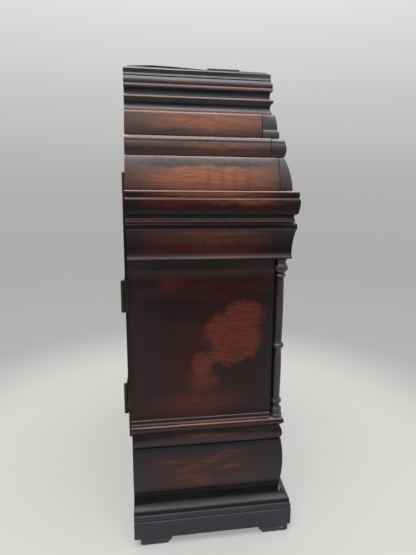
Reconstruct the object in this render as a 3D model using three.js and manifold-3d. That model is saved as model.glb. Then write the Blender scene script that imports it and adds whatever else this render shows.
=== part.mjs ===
// A hardwood bracket clock: a stepped, moulded case with corner columns and two doors,
// and inside it a fusee movement with dial, pendulum, hammer and bell.
// Millimetres, +Z up, the dial looks along -Y. The origin lies under the middle of the case, at its feet.
import * as THREE from 'three';
import { mergeVertices } from 'three/addons/utils/BufferGeometryUtils.js';
import Module from 'manifold-3d';

const wasm = await Module();
wasm.setup();

// ---------------------------------------------------------------- case sizes
// Mouldings are drawn against two reference planes: the sides at halfWidth, the front at caseDepth.
const halfWidth = 119;
const caseDepth = 127;
const seatGap = 0.3;
const runningGap = 0.3;

const footHeight = 6;
const footLength = 26.1;
const footDepthWidth = 22;
const footInset = 1.6;
const footBackOffset = 5.2;
const footFrontOffset = 2.1;
const footCurl = 1.8;

const plinthHeight = 37;
const plinthReach = 6.2;
const plinthWall = 14;
const plinthFaceHeight = 19.3;
const plinthChamfer = 1.3;
const plinthQuirk = 0.9;
const plinthRoundHeight = 9;
const plinthShoulderReach = 3.6;

const baseFriezeHeight = 40.4;
const baseFriezeReach = -2.6;
const baseFriezeSwell = 1.7;
const baseFriezeWall = 9.5;
const baseFriezeJoints = [116.4, 118.6];

const sillHeight = 21.2;
const sillTorusHeight = 12.2;
const sillTorusReach = -3.8;
const sillTorusSwell = 2;
const sillQuirkReach = -4;
const sillLipReach = -1.3;
const sillLipRise = 3.2;
const sillTopReach = -4.2;
const sillWall = 9;
const sillFrontWall = 19.8;

const openingHeight = 134.7;
const panelReach = -3;
const panelThickness = 10;
const bodyDepth = 113.8;
const panelBeadHeight = 4.4;
const panelBeadReach = 1.1;

const friezeHeight = 29.4;
const friezeLipReach = -0.4;
const friezeLipHeight = 3.6;
const friezeCoveReach = 0.2;
const friezeCoveDepth = 1.7;
const friezeFilletReach = 2.4;
const friezeFilletHeight = 6.2;
const friezeQuirkReach = 0.6;
const friezeSag = 0.9;

const corniceHeight = 23.5;
const corniceNeckHeight = 5.2;
const corniceNeckReach = 1.7;
const corniceOvoloReach = 4;
const corniceOvoloHeight = 12.4;
const corniceFilletReach = 3.1;
const corniceWall = 12;

const lowerTierHeight = 25.2;
const lowerTierReach = -1.3;
const lowerTierTopReach = -7.2;
const lowerTierSwell = 1.3;
const lowerTierJoint = 115.5;
const lowerTierWall = 14;

const torusHeight = 14.3;
const torusReach = -6.6;
const torusTopReach = -9.8;
const torusSwell = 0.9;
const torusJoint = 109.4;
const torusWall = 14;

const upperTierHeight = 18;
const upperTierReach = -11.7;
const upperTierTopReach = -14.1;
const upperTierSwell = 0.6;
const upperTierJoint = 103.1;
const upperTierWall = 14;
const tierBeadHeight = 5.6;
const tierBeadReach = 1.2;

const crownHeight = 24.7;
const crownReach = -16.4;
const crownAstragalReach = -14.9;
const crownAstragalRise = 6.4;
const crownAstragalHeight = 4.2;
const crownNeckReach = -15.9;
const crownOvoloRise = 15.4;
const crownOvoloReach = -15.2;
const crownTopReach = -16.8;
const crownWall = 16;

const topBoardHeight = 6.3;
const topBoardReach = -17.2;
const topBoardRound = 4.6;
const topHump = 1.4;
const topRaisedHeight = 1.8;
const topRaisedFrom = 62;
const topRaisedTo = 86.5;

const bottomBoardThickness = 6;
const bottomBoardRise = 4;
const backBoardThickness = 8;

// ---------------------------------------------------------------- columns
const columnInset = 7.5;
const columnDepth = 119.7;
const columnShaftRadius = 3.2;
const columnSwell = 0.35;
const columnCapitalRadius = 5.5;
const columnRingRadius = 4.7;
const columnMidRingRadius = 5.1;
const columnBaseHeight = 15.4;
const columnCapitalHeight = 15.8;
const columnMidRingRise = 62;

// ---------------------------------------------------------------- doors
const rearDoorLip = 2.4;
const rearDoorBottom = 92;
const rearDoorTop = 305;
const rearDoorHingeEdge = 111;
const rearDoorCatchEdge = 108;
const rearDoorRebate = 6;
const rearDoorFieldInset = 16;
const rearDoorFieldDepth = 2.2;
const rearDoorSwingGap = 0.8;
const rearDoorOverlap = 5;

const hingeLength = 25;
const hingeLowerRise = 115;
const hingeUpperRise = 199;
const hingeBarrelRadius = 1.5;
const hingePinRadius = 0.7;
const hingeAxisX = 112.5;
const hingeAxisBehind = 4;
const hingeLeafThickness = 1;
const hingeLeafWidth = 14;
const hingeMortiseDepth = 10;
const hingeKnuckleShare = 0.32;

const catchRise = 200;
const catchLength = 24;
const catchWidth = 6.4;
const catchThickness = 2.2;
const catchPivotX = 112;
const catchPostRadius = 1.4;
const catchTail = 4;

const frontDoorThickness = 8;
const frontDoorEdge = 103.6;
const frontDoorStile = 14;
const frontDoorRail = 10;
const frontDoorGap = 0.6;
const frontDoorPivotRadius = 1.6;
const frontDoorPivotLength = 4;
const frontGlassThickness = 2;
const knobRadius = 3.4;
const knobLength = 4.6;

// ---------------------------------------------------------------- dial and hands
const dialRise = 173.5;
const dialRadius = 51;
const dialThickness = 1.6;
const maskThickness = 1.4;
const apertureHalfWidth = 88;
const apertureHeight = 112;
const frontFrameThickness = 8;
const maskOverlap = 5;
const windingHoleRadius = 3.6;
const pipeHoleRadius = 4.2;
const hourHandLength = 30;
const minuteHandLength = 45;
const handThickness = 0.9;

// ---------------------------------------------------------------- movement
const plateHalfWidth = 56;
const plateHeight = 126;
const plateThickness = 2.5;
const plateSpacing = 45;
const frontPlateDepth = 92.5;
const pillarRadius = 3.5;
const pillarInset = 7;
const pivotRadius = 0.7;
const arborRadius = 0.95;
const seatBoardThickness = 8;
const seatBoardRise = 112;

const greatTeeth = 72;
const centrePinionLeaves = 6;
const centreTeeth = 66;
const thirdPinionLeaves = 6;
const thirdTeeth = 60;
const escapePinionLeaves = 6;
const escapeTeeth = 40;
const greatModule = 0.78;
const centreModule = 0.6;
const thirdModule = 0.6;
const cannonTeeth = 12;
const minuteTeeth = 36;
const minutePinionLeaves = 8;
const hourTeeth = 32;
const motionModule = 0.56;
const wheelThickness = 1.5;
const greatWheelThickness = 2.5;
const rimDepth = 2.6;
const spokeWidth = 2.4;
const hubRadius = 4;

const fuseeAngle = -48;
const fuseeTurns = 12;
const fuseeBigRadius = 17;
const fuseeSmallRadius = 8.5;
const fuseeGrooveDepth = 1.4;
const fuseeArborRadius = 2.4;
const barrelX = -34;
const barrelRise = 146;
const barrelRadius = 20;
const barrelLipRadius = 21;
const barrelBore = 3;
const chainWidth = 1.8;
const chainThickness = 1.2;

const escapeRadius = 13.5;
const escapeToothDepth = 2.2;
const palletSpan = 9.5;
const palletDrop = 0.65;
const palletThickness = 2;
const crutchLength = 31;
const pendulumLength = 166;
const bobRadius = 16;
const bobThickness = 8;
const rodRadius = 1.2;
const cockThickness = 2.5;
const cockHalfWidth = 18;

const bellRadius = 26;
const bellHeight = 28;
const bellWall = 1.8;
const bellRise = 250;
const bellDepth = 76.5;
const standWidth = 10;
const hammerX = 37;
const hammerRise = 222;
const hammerHeadRadius = 3.6;
const hammerHeadLength = 9;
const hammerGap = 1;

// ---------------------------------------------------------------- derived places
const hingeReach = hingeAxisBehind + hingeBarrelRadius;
const caseBackY = (caseDepth + plinthReach - hingeReach) / 2;
const atDepth = (depth) => caseBackY - depth;
const plinthZ = footHeight;
const baseFriezeZ = plinthZ + plinthHeight;
const sillZ = baseFriezeZ + baseFriezeHeight;
const openingZ = sillZ + sillHeight;
const friezeZ = openingZ + openingHeight;
const corniceZ = friezeZ + friezeHeight;
const lowerTierZ = corniceZ + corniceHeight;
const torusZ = lowerTierZ + lowerTierHeight;
const upperTierZ = torusZ + torusHeight;
const crownZ = upperTierZ + upperTierHeight;
const topBoardZ = crownZ + crownHeight;
const panelFace = halfWidth + panelReach;
const panelInside = panelFace - panelThickness;
const bodyFrontDepth = bodyDepth;
const frameBackDepth = bodyFrontDepth - frontFrameThickness;
const backRailTop = rearDoorBottom + rearDoorOverlap;
const degree = Math.PI / 180;

// ---------------------------------------------------------------- materials
const finish = (color, roughness, metalness) =>
  new THREE.MeshStandardMaterial({ color, roughness, metalness });
const darkWood = finish(0x2a1a1a, 0.4, 0);
const redWood = finish(0x4a2318, 0.4, 0);
const figuredWood = finish(0x7a3f22, 0.4, 0);
const plainWood = finish(0x6b4a30, 0.7, 0);
const brass = finish(0xb08d3c, 0.35, 0.9);
const agedBrass = finish(0x5a4a33, 0.5, 0.8);
const steel = finish(0x5c6068, 0.35, 0.9);
const enamel = finish(0xf1eee2, 0.25, 0);
const blackenedSteel = finish(0x1b1d24, 0.4, 0.7);
const clearGlass = finish(0xdfe8ea, 0.05, 0);
const bellMetal = finish(0xc2a76a, 0.3, 0.9);

// ---------------------------------------------------------------- solid helpers
// Joins equal corners and drops the empty triangles that a pole or a zero step leaves.
function weld(geometry) {
  const bare = geometry.clone();
  bare.deleteAttribute('normal');
  bare.deleteAttribute('uv');
  const merged = mergeVertices(bare, 1e-4);
  const kept = [];
  const corners = merged.index.array;
  for (let i = 0; i < corners.length; i += 3) {
    const [a, b, c] = [corners[i], corners[i + 1], corners[i + 2]];
    if (a !== b && b !== c && c !== a) kept.push(a, b, c);
  }
  merged.setIndex(kept);
  return merged;
}

function toSolid(geometry) {
  const merged = weld(geometry);
  return new wasm.Manifold(new wasm.Mesh({
    numProp: 3,
    vertProperties: Float32Array.from(merged.attributes.position.array),
    triVerts: Uint32Array.from(merged.index.array),
  }));
}

function toGeometry(solid) {
  const mesh = solid.getMesh();
  const geometry = new THREE.BufferGeometry();
  geometry.setAttribute('position', new THREE.BufferAttribute(mesh.vertProperties, mesh.numProp));
  geometry.setIndex(new THREE.BufferAttribute(mesh.triVerts, 1));
  return geometry;
}

function join(first, ...others) {
  let solid = toSolid(first);
  for (const other of others) solid = solid.add(toSolid(other));
  return toGeometry(solid);
}

function cut(body, ...tools) {
  let solid = toSolid(body);
  for (const tool of tools) solid = solid.subtract(toSolid(tool));
  return toGeometry(solid);
}

function common(first, second) {
  return toGeometry(toSolid(first).intersect(toSolid(second)));
}

function mirrored(geometry) {
  const copy = weld(geometry);
  copy.scale(-1, 1, 1);
  const corners = Array.from(copy.index.array);
  for (let i = 0; i < corners.length; i += 3) {
    [corners[i], corners[i + 1]] = [corners[i + 1], corners[i]];
  }
  copy.setIndex(corners);
  return copy;
}

// ---------------------------------------------------------------- outline helpers
// A moulding's outline, drawn upwards as [reach from the reference plane, height over its bed].
class Outline {
  constructor(reach, rise = 0) {
    this.points = [[reach, rise]];
  }

  line(reach, rise) {
    this.points.push([reach, rise]);
    return this;
  }

  // An arc to the next point: a positive swell is round, a negative one is a cove.
  bow(reach, rise, swell, steps = 5) {
    const [fromReach, fromRise] = this.points[this.points.length - 1];
    for (let i = 1; i <= steps; i += 1) {
      const share = i / steps;
      const bulge = 4 * swell * share * (1 - share);
      this.points.push([
        fromReach + (reach - fromReach) * share + bulge,
        fromRise + (rise - fromRise) * share,
      ]);
    }
    return this;
  }

  at(height) {
    return this.points.map(([reach, rise]) => [reach, rise + height]);
  }
}

function ring(x, z, radius, count, phase = 0) {
  const points = [];
  for (let i = 0; i < count; i += 1) {
    const angle = phase + (2 * Math.PI * i) / count;
    points.push(new THREE.Vector2(x + radius * Math.cos(angle), z + radius * Math.sin(angle)));
  }
  return points;
}

// A many-sided hole whose flats, not its corners, keep the radius clear.
const hole = (x, z, radius, count = 8) =>
  new THREE.Path(ring(x, z, radius / Math.cos(Math.PI / count), count));

const box = (x0, x1, y0, y1, z0, z1) =>
  new THREE.BoxGeometry(Math.abs(x1 - x0), Math.abs(y1 - y0), Math.abs(z1 - z0))
    .translate((x0 + x1) / 2, (y0 + y1) / 2, (z0 + z1) / 2);

// A flat piece that stands across the depth of the case, drawn as seen from the dial side.
function slab(outline, backDepth, frontDepth, holes = []) {
  const shape = outline instanceof THREE.Shape ? outline : new THREE.Shape(outline);
  shape.holes.push(...holes);
  return new THREE.ExtrudeGeometry(shape, { depth: frontDepth - backDepth, bevelEnabled: false })
    .rotateX(Math.PI / 2)
    .translate(0, atDepth(backDepth), 0);
}

const rod = (x, z, radius, backDepth, frontDepth, count = 12) =>
  slab(ring(x, z, radius, count), backDepth, frontDepth);

const rectangle = (x0, x1, z0, z1) => [
  new THREE.Vector2(x0, z0),
  new THREE.Vector2(x1, z0),
  new THREE.Vector2(x1, z1),
  new THREE.Vector2(x0, z1),
];

// A turned piece: its profile runs upwards as [radius, height], from the axis back to the axis.
const turned = (profile, count) =>
  new THREE.LatheGeometry(profile.map(([radius, height]) => new THREE.Vector2(radius, height)), count)
    .rotateX(Math.PI / 2);

// A closed skin over rings of equal count, one above the other.
function stack(outline, ringAt) {
  const rings = outline.map(([reach, height]) => ringAt(reach).map(([x, y]) => [x, y, height]));
  const count = rings[0].length;
  const index = [];
  for (let level = 0; level + 1 < rings.length; level += 1) {
    for (let side = 0; side < count; side += 1) {
      const low = level * count + side;
      const next = level * count + ((side + 1) % count);
      index.push(low, next, next + count, low, next + count, low + count);
    }
  }
  const lid = (reach) => ringAt(reach).map(([x, y]) => new THREE.Vector2(x, y));
  const top = (rings.length - 1) * count;
  for (const [a, b, c] of THREE.ShapeUtils.triangulateShape(lid(outline[0][0]), [])) {
    index.push(c, b, a);
  }
  for (const [a, b, c] of THREE.ShapeUtils.triangulateShape(lid(outline.at(-1)[0]), [])) {
    index.push(top + a, top + b, top + c);
  }
  const geometry = new THREE.BufferGeometry();
  geometry.setAttribute('position', new THREE.Float32BufferAttribute(rings.flat(2), 3));
  geometry.setIndex(index);
  return geometry;
}

const sideAt = (reach) => halfWidth + reach;
const frontAt = (reach) => atDepth(caseDepth + reach);

// A moulding that runs along the left side, the front and the right side in one.
const threeSided = (outline, inside, frontInside) =>
  stack(outline, (reach) => [
    [-sideAt(reach), caseBackY],
    [-sideAt(reach), frontAt(reach)],
    [sideAt(reach), frontAt(reach)],
    [sideAt(reach), caseBackY],
    [inside, caseBackY],
    [inside, frontInside],
    [-inside, frontInside],
    [-inside, caseBackY],
  ]);

// A front strip with shaped ends, and the side strip that butts against its back.
const frontStrip = (outline, jointDepth) =>
  stack(outline, (reach) => [
    [-sideAt(reach), frontAt(reach)],
    [sideAt(reach), frontAt(reach)],
    [sideAt(reach), atDepth(jointDepth)],
    [-sideAt(reach), atDepth(jointDepth)],
  ]);

const leftStrip = (outline, inside, jointDepth) =>
  stack(outline, (reach) => [
    [-sideAt(reach), caseBackY],
    [-sideAt(reach), atDepth(jointDepth)],
    [-inside, atDepth(jointDepth)],
    [-inside, caseBackY],
  ]);

// ---------------------------------------------------------------- the model
const clock = new THREE.Group();

function piece(name, geometry, material, group = clock) {
  const welded = weld(geometry);
  const mesh = new THREE.Mesh(welded, material);
  mesh.name = name;
  group.add(mesh);
  return mesh;
}

// ---- case: base
function footOutline() {
  return [
    new THREE.Vector2(0, footHeight),
    new THREE.Vector2(0, footCurl * 0.6),
    new THREE.Vector2(footCurl, 0),
    new THREE.Vector2(footLength - footCurl * 2, 0),
    new THREE.Vector2(footLength - footCurl * 1.2, footHeight * 0.35),
    new THREE.Vector2(footLength, footHeight * 0.7),
    new THREE.Vector2(footLength, footHeight),
  ];
}

// A low foot drawn along the depth: its curled end looks to the middle of the side.
function foot(outerDepth, towardsFront) {
  const outline = footOutline().map(({ x, y }) =>
    new THREE.Vector2(towardsFront ? atDepth(outerDepth + x) : atDepth(outerDepth - x), y));
  const shape = new THREE.Shape(outline);
  const outside = sideAt(plinthReach) - footInset;
  return new THREE.ExtrudeGeometry(shape, { depth: footDepthWidth, bevelEnabled: false })
    .rotateZ(Math.PI / 2)
    .rotateY(Math.PI / 2)
    .translate(-outside, 0, 0);
}

function addFeet() {
  const back = foot(footBackOffset, true);
  const front = foot(caseDepth + plinthReach - footFrontOffset, false);
  piece('foot_back_left', back, darkWood);
  piece('foot_front_left', front, darkWood);
  piece('foot_back_right', mirrored(back), darkWood);
  piece('foot_front_right', mirrored(front), darkWood);
}

const plinthOutline = () =>
  new Outline(plinthReach - plinthChamfer)
    .line(plinthReach, plinthChamfer)
    .line(plinthReach, plinthFaceHeight)
    .line(plinthReach - plinthQuirk, plinthFaceHeight + plinthQuirk / 2)
    .line(plinthReach - plinthQuirk / 2, plinthFaceHeight + plinthQuirk * 2)
    .bow(plinthShoulderReach, plinthFaceHeight + plinthRoundHeight, 1.1)
    .bow(baseFriezeReach, plinthHeight, -1.3)
    .at(plinthZ);

const baseFriezeOutline = () =>
  new Outline(baseFriezeReach)
    .bow(baseFriezeReach, baseFriezeHeight, baseFriezeSwell, 10)
    .at(baseFriezeZ);

const sillOutline = () =>
  new Outline(sillTorusReach)
    .bow(sillTorusReach, sillTorusHeight, sillTorusSwell, 7)
    .line(sillQuirkReach, sillTorusHeight + 0.5)
    .line(sillLipReach, sillTorusHeight + sillLipRise)
    .bow(sillLipReach - 0.3, sillHeight - 1.8, 0.5, 3)
    .line(sillTopReach, sillHeight)
    .at(sillZ);

// Fine grooves where the front board of the base meets the two side boards.
function jointGrooves(depths, low, high) {
  const outer = sideAt(0);
  return depths.flatMap((depth) => [-1, 1].map((side) =>
    box(side * (sideAt(baseFriezeReach) - 0.3), side * outer, atDepth(depth), atDepth(depth + 0.4), low, high)));
}

function addBase() {
  const plinthInside = sideAt(plinthReach) - plinthWall;
  const plinthFrontInside = frontAt(plinthReach) + plinthWall;
  piece('plinth_moulding', threeSided(plinthOutline(), plinthInside, plinthFrontInside), darkWood);
  const boardLow = plinthZ + bottomBoardRise;
  piece('bottom_board', box(
    -plinthInside, plinthInside, plinthFrontInside, caseBackY - backBoardThickness,
    boardLow, boardLow + bottomBoardThickness,
  ), plainWood);
  const friezeInside = sideAt(baseFriezeReach) - baseFriezeWall;
  const base = threeSided(baseFriezeOutline(), friezeInside, frontAt(baseFriezeReach) + baseFriezeWall);
  piece('base_frieze', cut(base, ...jointGrooves(
    baseFriezeJoints, baseFriezeZ - 1, baseFriezeZ + baseFriezeHeight + 1,
  )), darkWood);
  const inside = sillInside();
  const sill = threeSided(sillOutline(), inside, frontAt(sillLipReach) + sillFrontWall);
  piece('sill_moulding', cut(sill, frontPivotSocket(openingZ - frontDoorPivotLength, openingZ + 1)), darkWood);
  addBackRail(plinthInside, friezeInside, inside);
}

const sillInside = () => panelFace - sillWall - 1;

// The rail that closes the back below the door, stepped to the boards on its two sides.
function addBackRail(plinthInside, friezeInside, inside) {
  const outline = [
    [-plinthInside, plinthZ], [plinthInside, plinthZ],
    [plinthInside, baseFriezeZ], [friezeInside, baseFriezeZ],
    [friezeInside, sillZ], [inside, sillZ],
    [inside, backRailTop], [-inside, backRailTop],
    [-inside, sillZ], [-friezeInside, sillZ],
    [-friezeInside, baseFriezeZ], [-plinthInside, baseFriezeZ],
  ].map(([x, z]) => new THREE.Vector2(x, z));
  piece('back_rail', slab(outline, 0, backBoardThickness), darkWood);
}

// ---- case: body
function sidePanel(mortises) {
  const bead = new Outline(panelReach + panelBeadReach)
    .line(panelReach + panelBeadReach, panelBeadHeight - panelBeadReach)
    .bow(panelReach, panelBeadHeight, 0.3, 3)
    .line(panelReach, openingHeight)
    .at(openingZ);
  const panel = leftStrip(bead, panelInside, bodyFrontDepth);
  return mortises ? cut(panel, ...hingeMortises()) : panel;
}

const frontDoorAxis = () => [
  frontDoorEdge - frontDoorThickness / 2,
  atDepth(bodyFrontDepth + frontDoorGap + frontDoorThickness / 2),
];

function frontPivotSocket(low, high) {
  const [x, y] = frontDoorAxis();
  return new THREE.CylinderGeometry(
    frontDoorPivotRadius + runningGap, frontDoorPivotRadius + runningGap, high - low, 12,
  ).rotateX(Math.PI / 2).translate(x, y, (low + high) / 2);
}

function addBody() {
  piece('side_panel_left', sidePanel(true), redWood);
  piece('side_panel_right', mirrored(sidePanel(false)), redWood);
  const frame = slab(
    rectangle(-panelInside, panelInside, openingZ, friezeZ), frameBackDepth, bodyFrontDepth,
    [new THREE.Path(rectangle(
      -apertureHalfWidth, apertureHalfWidth, dialRise - apertureHeight / 2, dialRise + apertureHeight / 2,
    ))],
  );
  piece('front_frame', frame, darkWood);
}

function columnProfile() {
  const top = openingHeight;
  const shaftLow = columnBaseHeight + 3.6;
  const shaftHigh = top - columnCapitalHeight + 1;
  const mid = columnMidRingRise;
  const shaft = columnShaftRadius;
  return [
    [0, 0], [columnCapitalRadius, 0], [columnCapitalRadius, 1.2],
    [columnRingRadius - 1, 2], [columnMidRingRadius - 0.4, 3.2], [columnMidRingRadius, 4.9],
    [columnMidRingRadius - 0.4, 6.6], [shaft, 8.2], [shaft, 10.8],
    [columnRingRadius, 12], [columnRingRadius, 13.6], [shaft, columnBaseHeight],
    [shaft, shaftLow],
    [shaft + columnSwell, (shaftLow + mid) / 2], [shaft, mid - 2.6],
    [columnMidRingRadius - 0.8, mid - 1.6], [columnMidRingRadius, mid], [columnMidRingRadius - 0.8, mid + 1.6],
    [shaft, mid + 2.6], [shaft + columnSwell, (shaftHigh + mid) / 2], [shaft, shaftHigh],
    [columnRingRadius, top - 14.4], [columnRingRadius, top - 12.8], [shaft + 0.3, top - 11.4],
    [columnCapitalRadius - 0.7, top - 9.6], [columnCapitalRadius, top - 7.9],
    [columnCapitalRadius - 0.7, top - 6.2], [shaft + 0.6, top - 4.6],
    [columnCapitalRadius - 0.9, top - 1.8], [columnCapitalRadius - 0.5, top], [0, top],
  ];
}

function addColumns() {
  const left = turned(columnProfile(), 10)
    .translate(-(halfWidth - columnInset), atDepth(columnDepth), openingZ);
  piece('column_left', left, darkWood);
  piece('column_right', mirrored(left), darkWood);
}

// ---- case: frieze and cornice
const friezeOutline = () =>
  new Outline(friezeLipReach - friezeSag)
    .bow(friezeLipReach - 0.4, friezeLipHeight, 0.7, 3)
    .line(friezeCoveReach - 1, friezeLipHeight + 0.5)
    .bow(friezeFilletReach - 0.8, friezeHeight - friezeFilletHeight, -friezeCoveDepth, 6)
    .line(friezeFilletReach, friezeHeight - friezeFilletHeight + 0.6)
    .line(friezeFilletReach, friezeHeight - 1.2)
    .line(friezeQuirkReach, friezeHeight)
    .at(friezeZ);

const corniceOutline = () =>
  new Outline(friezeQuirkReach)
    .bow(corniceNeckReach, corniceNeckHeight, 0.9, 4)
    .line(corniceNeckReach + 0.9, corniceNeckHeight + 0.8)
    .bow(corniceOvoloReach, corniceNeckHeight + corniceOvoloHeight - 0.6, 0.5, 4)
    .line(corniceFilletReach - 0.3, corniceNeckHeight + corniceOvoloHeight + 0.8)
    .line(corniceFilletReach + 0.2, corniceNeckHeight + corniceOvoloHeight + 2)
    .line(corniceFilletReach, corniceHeight - 0.6)
    .line(corniceFilletReach - 0.7, corniceHeight)
    .at(corniceZ);

function addCornice() {
  const frieze = threeSided(friezeOutline(), panelInside, atDepth(frameBackDepth));
  piece('frieze_moulding', cut(frieze, frontPivotSocket(friezeZ - 1, friezeZ + frontDoorPivotLength)), redWood);
  const inside = sideAt(friezeQuirkReach) - corniceWall - 1;
  piece('cornice_moulding', threeSided(corniceOutline(), inside, atDepth(frameBackDepth)), redWood);
}

// ---- case: pediment
const lowerTierOutline = () =>
  new Outline(lowerTierReach)
    .bow(lowerTierTopReach, lowerTierHeight, lowerTierSwell, 7)
    .at(lowerTierZ);

const torusOutline = () =>
  new Outline(torusReach - 0.5)
    .line(torusReach, 1.4)
    .bow(torusReach - 0.3, torusHeight - 3.4, torusSwell, 4)
    .bow(torusTopReach, torusHeight, 0.9, 4)
    .at(torusZ);

const upperTierOutline = () =>
  new Outline(upperTierReach)
    .bow(upperTierTopReach, upperTierHeight, upperTierSwell, 5)
    .at(upperTierZ);

// The front strip of the upper tier has a thin bead along its foot.
const upperTierFrontOutline = () =>
  new Outline(upperTierReach + tierBeadReach)
    .bow(upperTierReach + tierBeadReach * 0.4, tierBeadHeight, 0.3, 3)
    .line(upperTierReach - 0.2, tierBeadHeight + 0.4)
    .bow(upperTierTopReach, upperTierHeight, upperTierSwell, 4)
    .at(upperTierZ);

function addTier(name, sideOutline, frontOutline, inside, jointDepth, material) {
  const left = leftStrip(sideOutline, inside, jointDepth);
  piece(`${name}_front`, frontStrip(frontOutline, jointDepth), material);
  piece(`${name}_left`, left, material);
  piece(`${name}_right`, mirrored(left), material);
}

const crownOutline = () =>
  new Outline(crownReach)
    .bow(crownNeckReach, crownAstragalRise, -0.4, 3)
    .bow(crownNeckReach, crownAstragalRise + crownAstragalHeight, crownAstragalReach - crownNeckReach, 4)
    .line(crownNeckReach - 0.3, crownOvoloRise)
    .bow(crownTopReach, crownHeight, crownOvoloReach - crownNeckReach + 0.5, 5)
    .at(crownZ);

// The top board is slightly warped, rounded along its front edge, with a thin raised strip across it.
function topBoard() {
  const low = topBoardZ;
  const high = topBoardZ + topBoardHeight;
  const plan = new Outline(crownTopReach)
    .line(topBoardReach + 0.1, 1.6)
    .line(topBoardReach, topBoardHeight - 1.6)
    .line(topBoardReach - 1.6, topBoardHeight)
    .line(topBoardReach - 2.2, topBoardHeight + topHump + 1)
    .at(low);
  const body = stack(plan, (reach) => [
    [-sideAt(reach), frontAt(reach)], [sideAt(reach), frontAt(reach)],
    [sideAt(reach), caseBackY], [-sideAt(reach), caseBackY],
  ]);
  const frontDepth = caseDepth + topBoardReach;
  const warp = [[0, -0.8], [4, 0.4], [20, topHump], [38, topHump * 0.7], [60, 0], [topRaisedTo, 0.1],
    [frontDepth - topBoardRound, -0.2], [frontDepth - topBoardRound / 3, -0.9], [frontDepth + 1, -2.6]];
  const section = new THREE.Shape([
    new THREE.Vector2(atDepth(frontDepth + 1), low - 1),
    new THREE.Vector2(atDepth(0), low - 1),
    ...warp.map(([depth, rise]) => new THREE.Vector2(atDepth(depth), high + rise)),
  ]);
  const length = 2 * sideAt(0);
  const sheet = new THREE.ExtrudeGeometry(section, { depth: length, bevelEnabled: false })
    .rotateZ(Math.PI / 2)
    .rotateY(Math.PI / 2)
    .translate(-length / 2, 0, 0);
  const half = sideAt(topBoardReach) - topBoardRound;
  const raised = box(
    -half, half, atDepth(topRaisedFrom), atDepth(topRaisedTo), low + 1, high + topRaisedHeight,
  );
  return join(common(body, sheet), raised);
}

function addPediment() {
  const lowerInside = sideAt(lowerTierReach) - lowerTierWall;
  const torusInside = sideAt(torusReach) - torusWall;
  const upperInside = sideAt(upperTierReach) - upperTierWall;
  const crownInside = sideAt(crownReach) - crownWall;
  const lower = lowerTierOutline();
  const torus = torusOutline();
  addTier('lower_tier', lower, lower, lowerInside, lowerTierJoint, figuredWood);
  addTier('torus', torus, torus, torusInside, torusJoint, redWood);
  addTier('upper_tier', upperTierOutline(), upperTierFrontOutline(), upperInside, upperTierJoint, figuredWood);
  const crownFront = frontAt(crownReach) + crownWall;
  piece('crown_moulding', threeSided(crownOutline(), crownInside, crownFront), darkWood);
  piece('top_board', topBoard(), darkWood);
  const steps = [
    [lowerInside, lowerTierZ], [lowerInside, torusZ], [torusInside, torusZ], [torusInside, upperTierZ],
    [upperInside, upperTierZ], [upperInside, crownZ], [crownInside, crownZ], [crownInside, topBoardZ],
  ];
  const outline = [
    ...steps.map(([x, z]) => new THREE.Vector2(x, z)),
    ...steps.toReversed().map(([x, z]) => new THREE.Vector2(-x, z)),
  ];
  piece('pediment_back', slab(outline, 0, backBoardThickness), darkWood);
}

// ---- rear door
const hingeAxis = () => [-hingeAxisX, caseBackY + hingeAxisBehind];
const rearDoorFace = () => caseBackY + rearDoorLip;

function hingeMortises() {
  const half = hingeLeafThickness / 2 + seatGap;
  return [hingeLowerRise, hingeUpperRise].map((low) => box(
    -hingeAxisX - half, -hingeAxisX + half,
    caseBackY - hingeMortiseDepth - seatGap, caseBackY + 1,
    low - seatGap, low + hingeLength + seatGap,
  ));
}

function rearDoor() {
  const lip = box(
    -rearDoorHingeEdge, rearDoorCatchEdge, caseBackY, rearDoorFace(), rearDoorBottom, rearDoorTop,
  );
  const inner = panelInside - rearDoorSwingGap;
  const rebate = box(
    -inner, inner, caseBackY - rearDoorRebate, caseBackY + rearDoorLip / 2,
    backRailTop + rearDoorSwingGap, lowerTierZ - rearDoorSwingGap,
  );
  const field = box(
    -inner + rearDoorFieldInset, inner - rearDoorFieldInset,
    rearDoorFace() - rearDoorFieldDepth, rearDoorFace() + 1,
    backRailTop + rearDoorFieldInset, lowerTierZ - rearDoorFieldInset,
  );
  return cut(join(lip, rebate), field);
}

const upright = (x, y, radius, low, high, count = 12) =>
  new THREE.CylinderGeometry(radius, radius, high - low, count)
    .rotateX(Math.PI / 2)
    .translate(x, y, (low + high) / 2);

// The leaf on the case: two outer knuckles with the pin, and a plate let into the side board.
function fixedLeaf(low) {
  const [x, y] = hingeAxis();
  const high = low + hingeLength;
  const knuckle = hingeLength * hingeKnuckleShare;
  const half = hingeLeafThickness / 2;
  const plate = cut(
    box(x - half, x + half, caseBackY - hingeMortiseDepth, y, low, high),
    box(
      x - 2, x + 2, y - hingeBarrelRadius - runningGap, y + 1,
      low + knuckle - runningGap, high - knuckle + runningGap,
    ),
  );
  return join(
    plate,
    upright(x, y, hingeBarrelRadius, low, low + knuckle),
    upright(x, y, hingeBarrelRadius, high - knuckle, high),
    upright(x, y, hingePinRadius, low + 1, high - 1),
  );
}

// The leaf on the door: the middle knuckle and a plate on the door's outer face.
function movingLeaf(low) {
  const [x, y] = hingeAxis();
  const knuckle = hingeLength * hingeKnuckleShare;
  const from = low + knuckle + runningGap;
  const to = low + hingeLength - knuckle - runningGap;
  const face = rearDoorFace();
  const plate = box(
    x + hingeBarrelRadius + runningGap, x + hingeBarrelRadius + hingeLeafWidth,
    face, face + hingeLeafThickness, low, low + hingeLength,
  );
  const tongue = box(x, x + hingeBarrelRadius + 2, face, face + hingeLeafThickness, from, to);
  const barrel = upright(x, y, hingeBarrelRadius, from, to);
  const bore = upright(x, y, hingePinRadius + runningGap, from - 1, to + 1);
  return cut(join(plate, tongue, barrel), bore);
}

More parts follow.
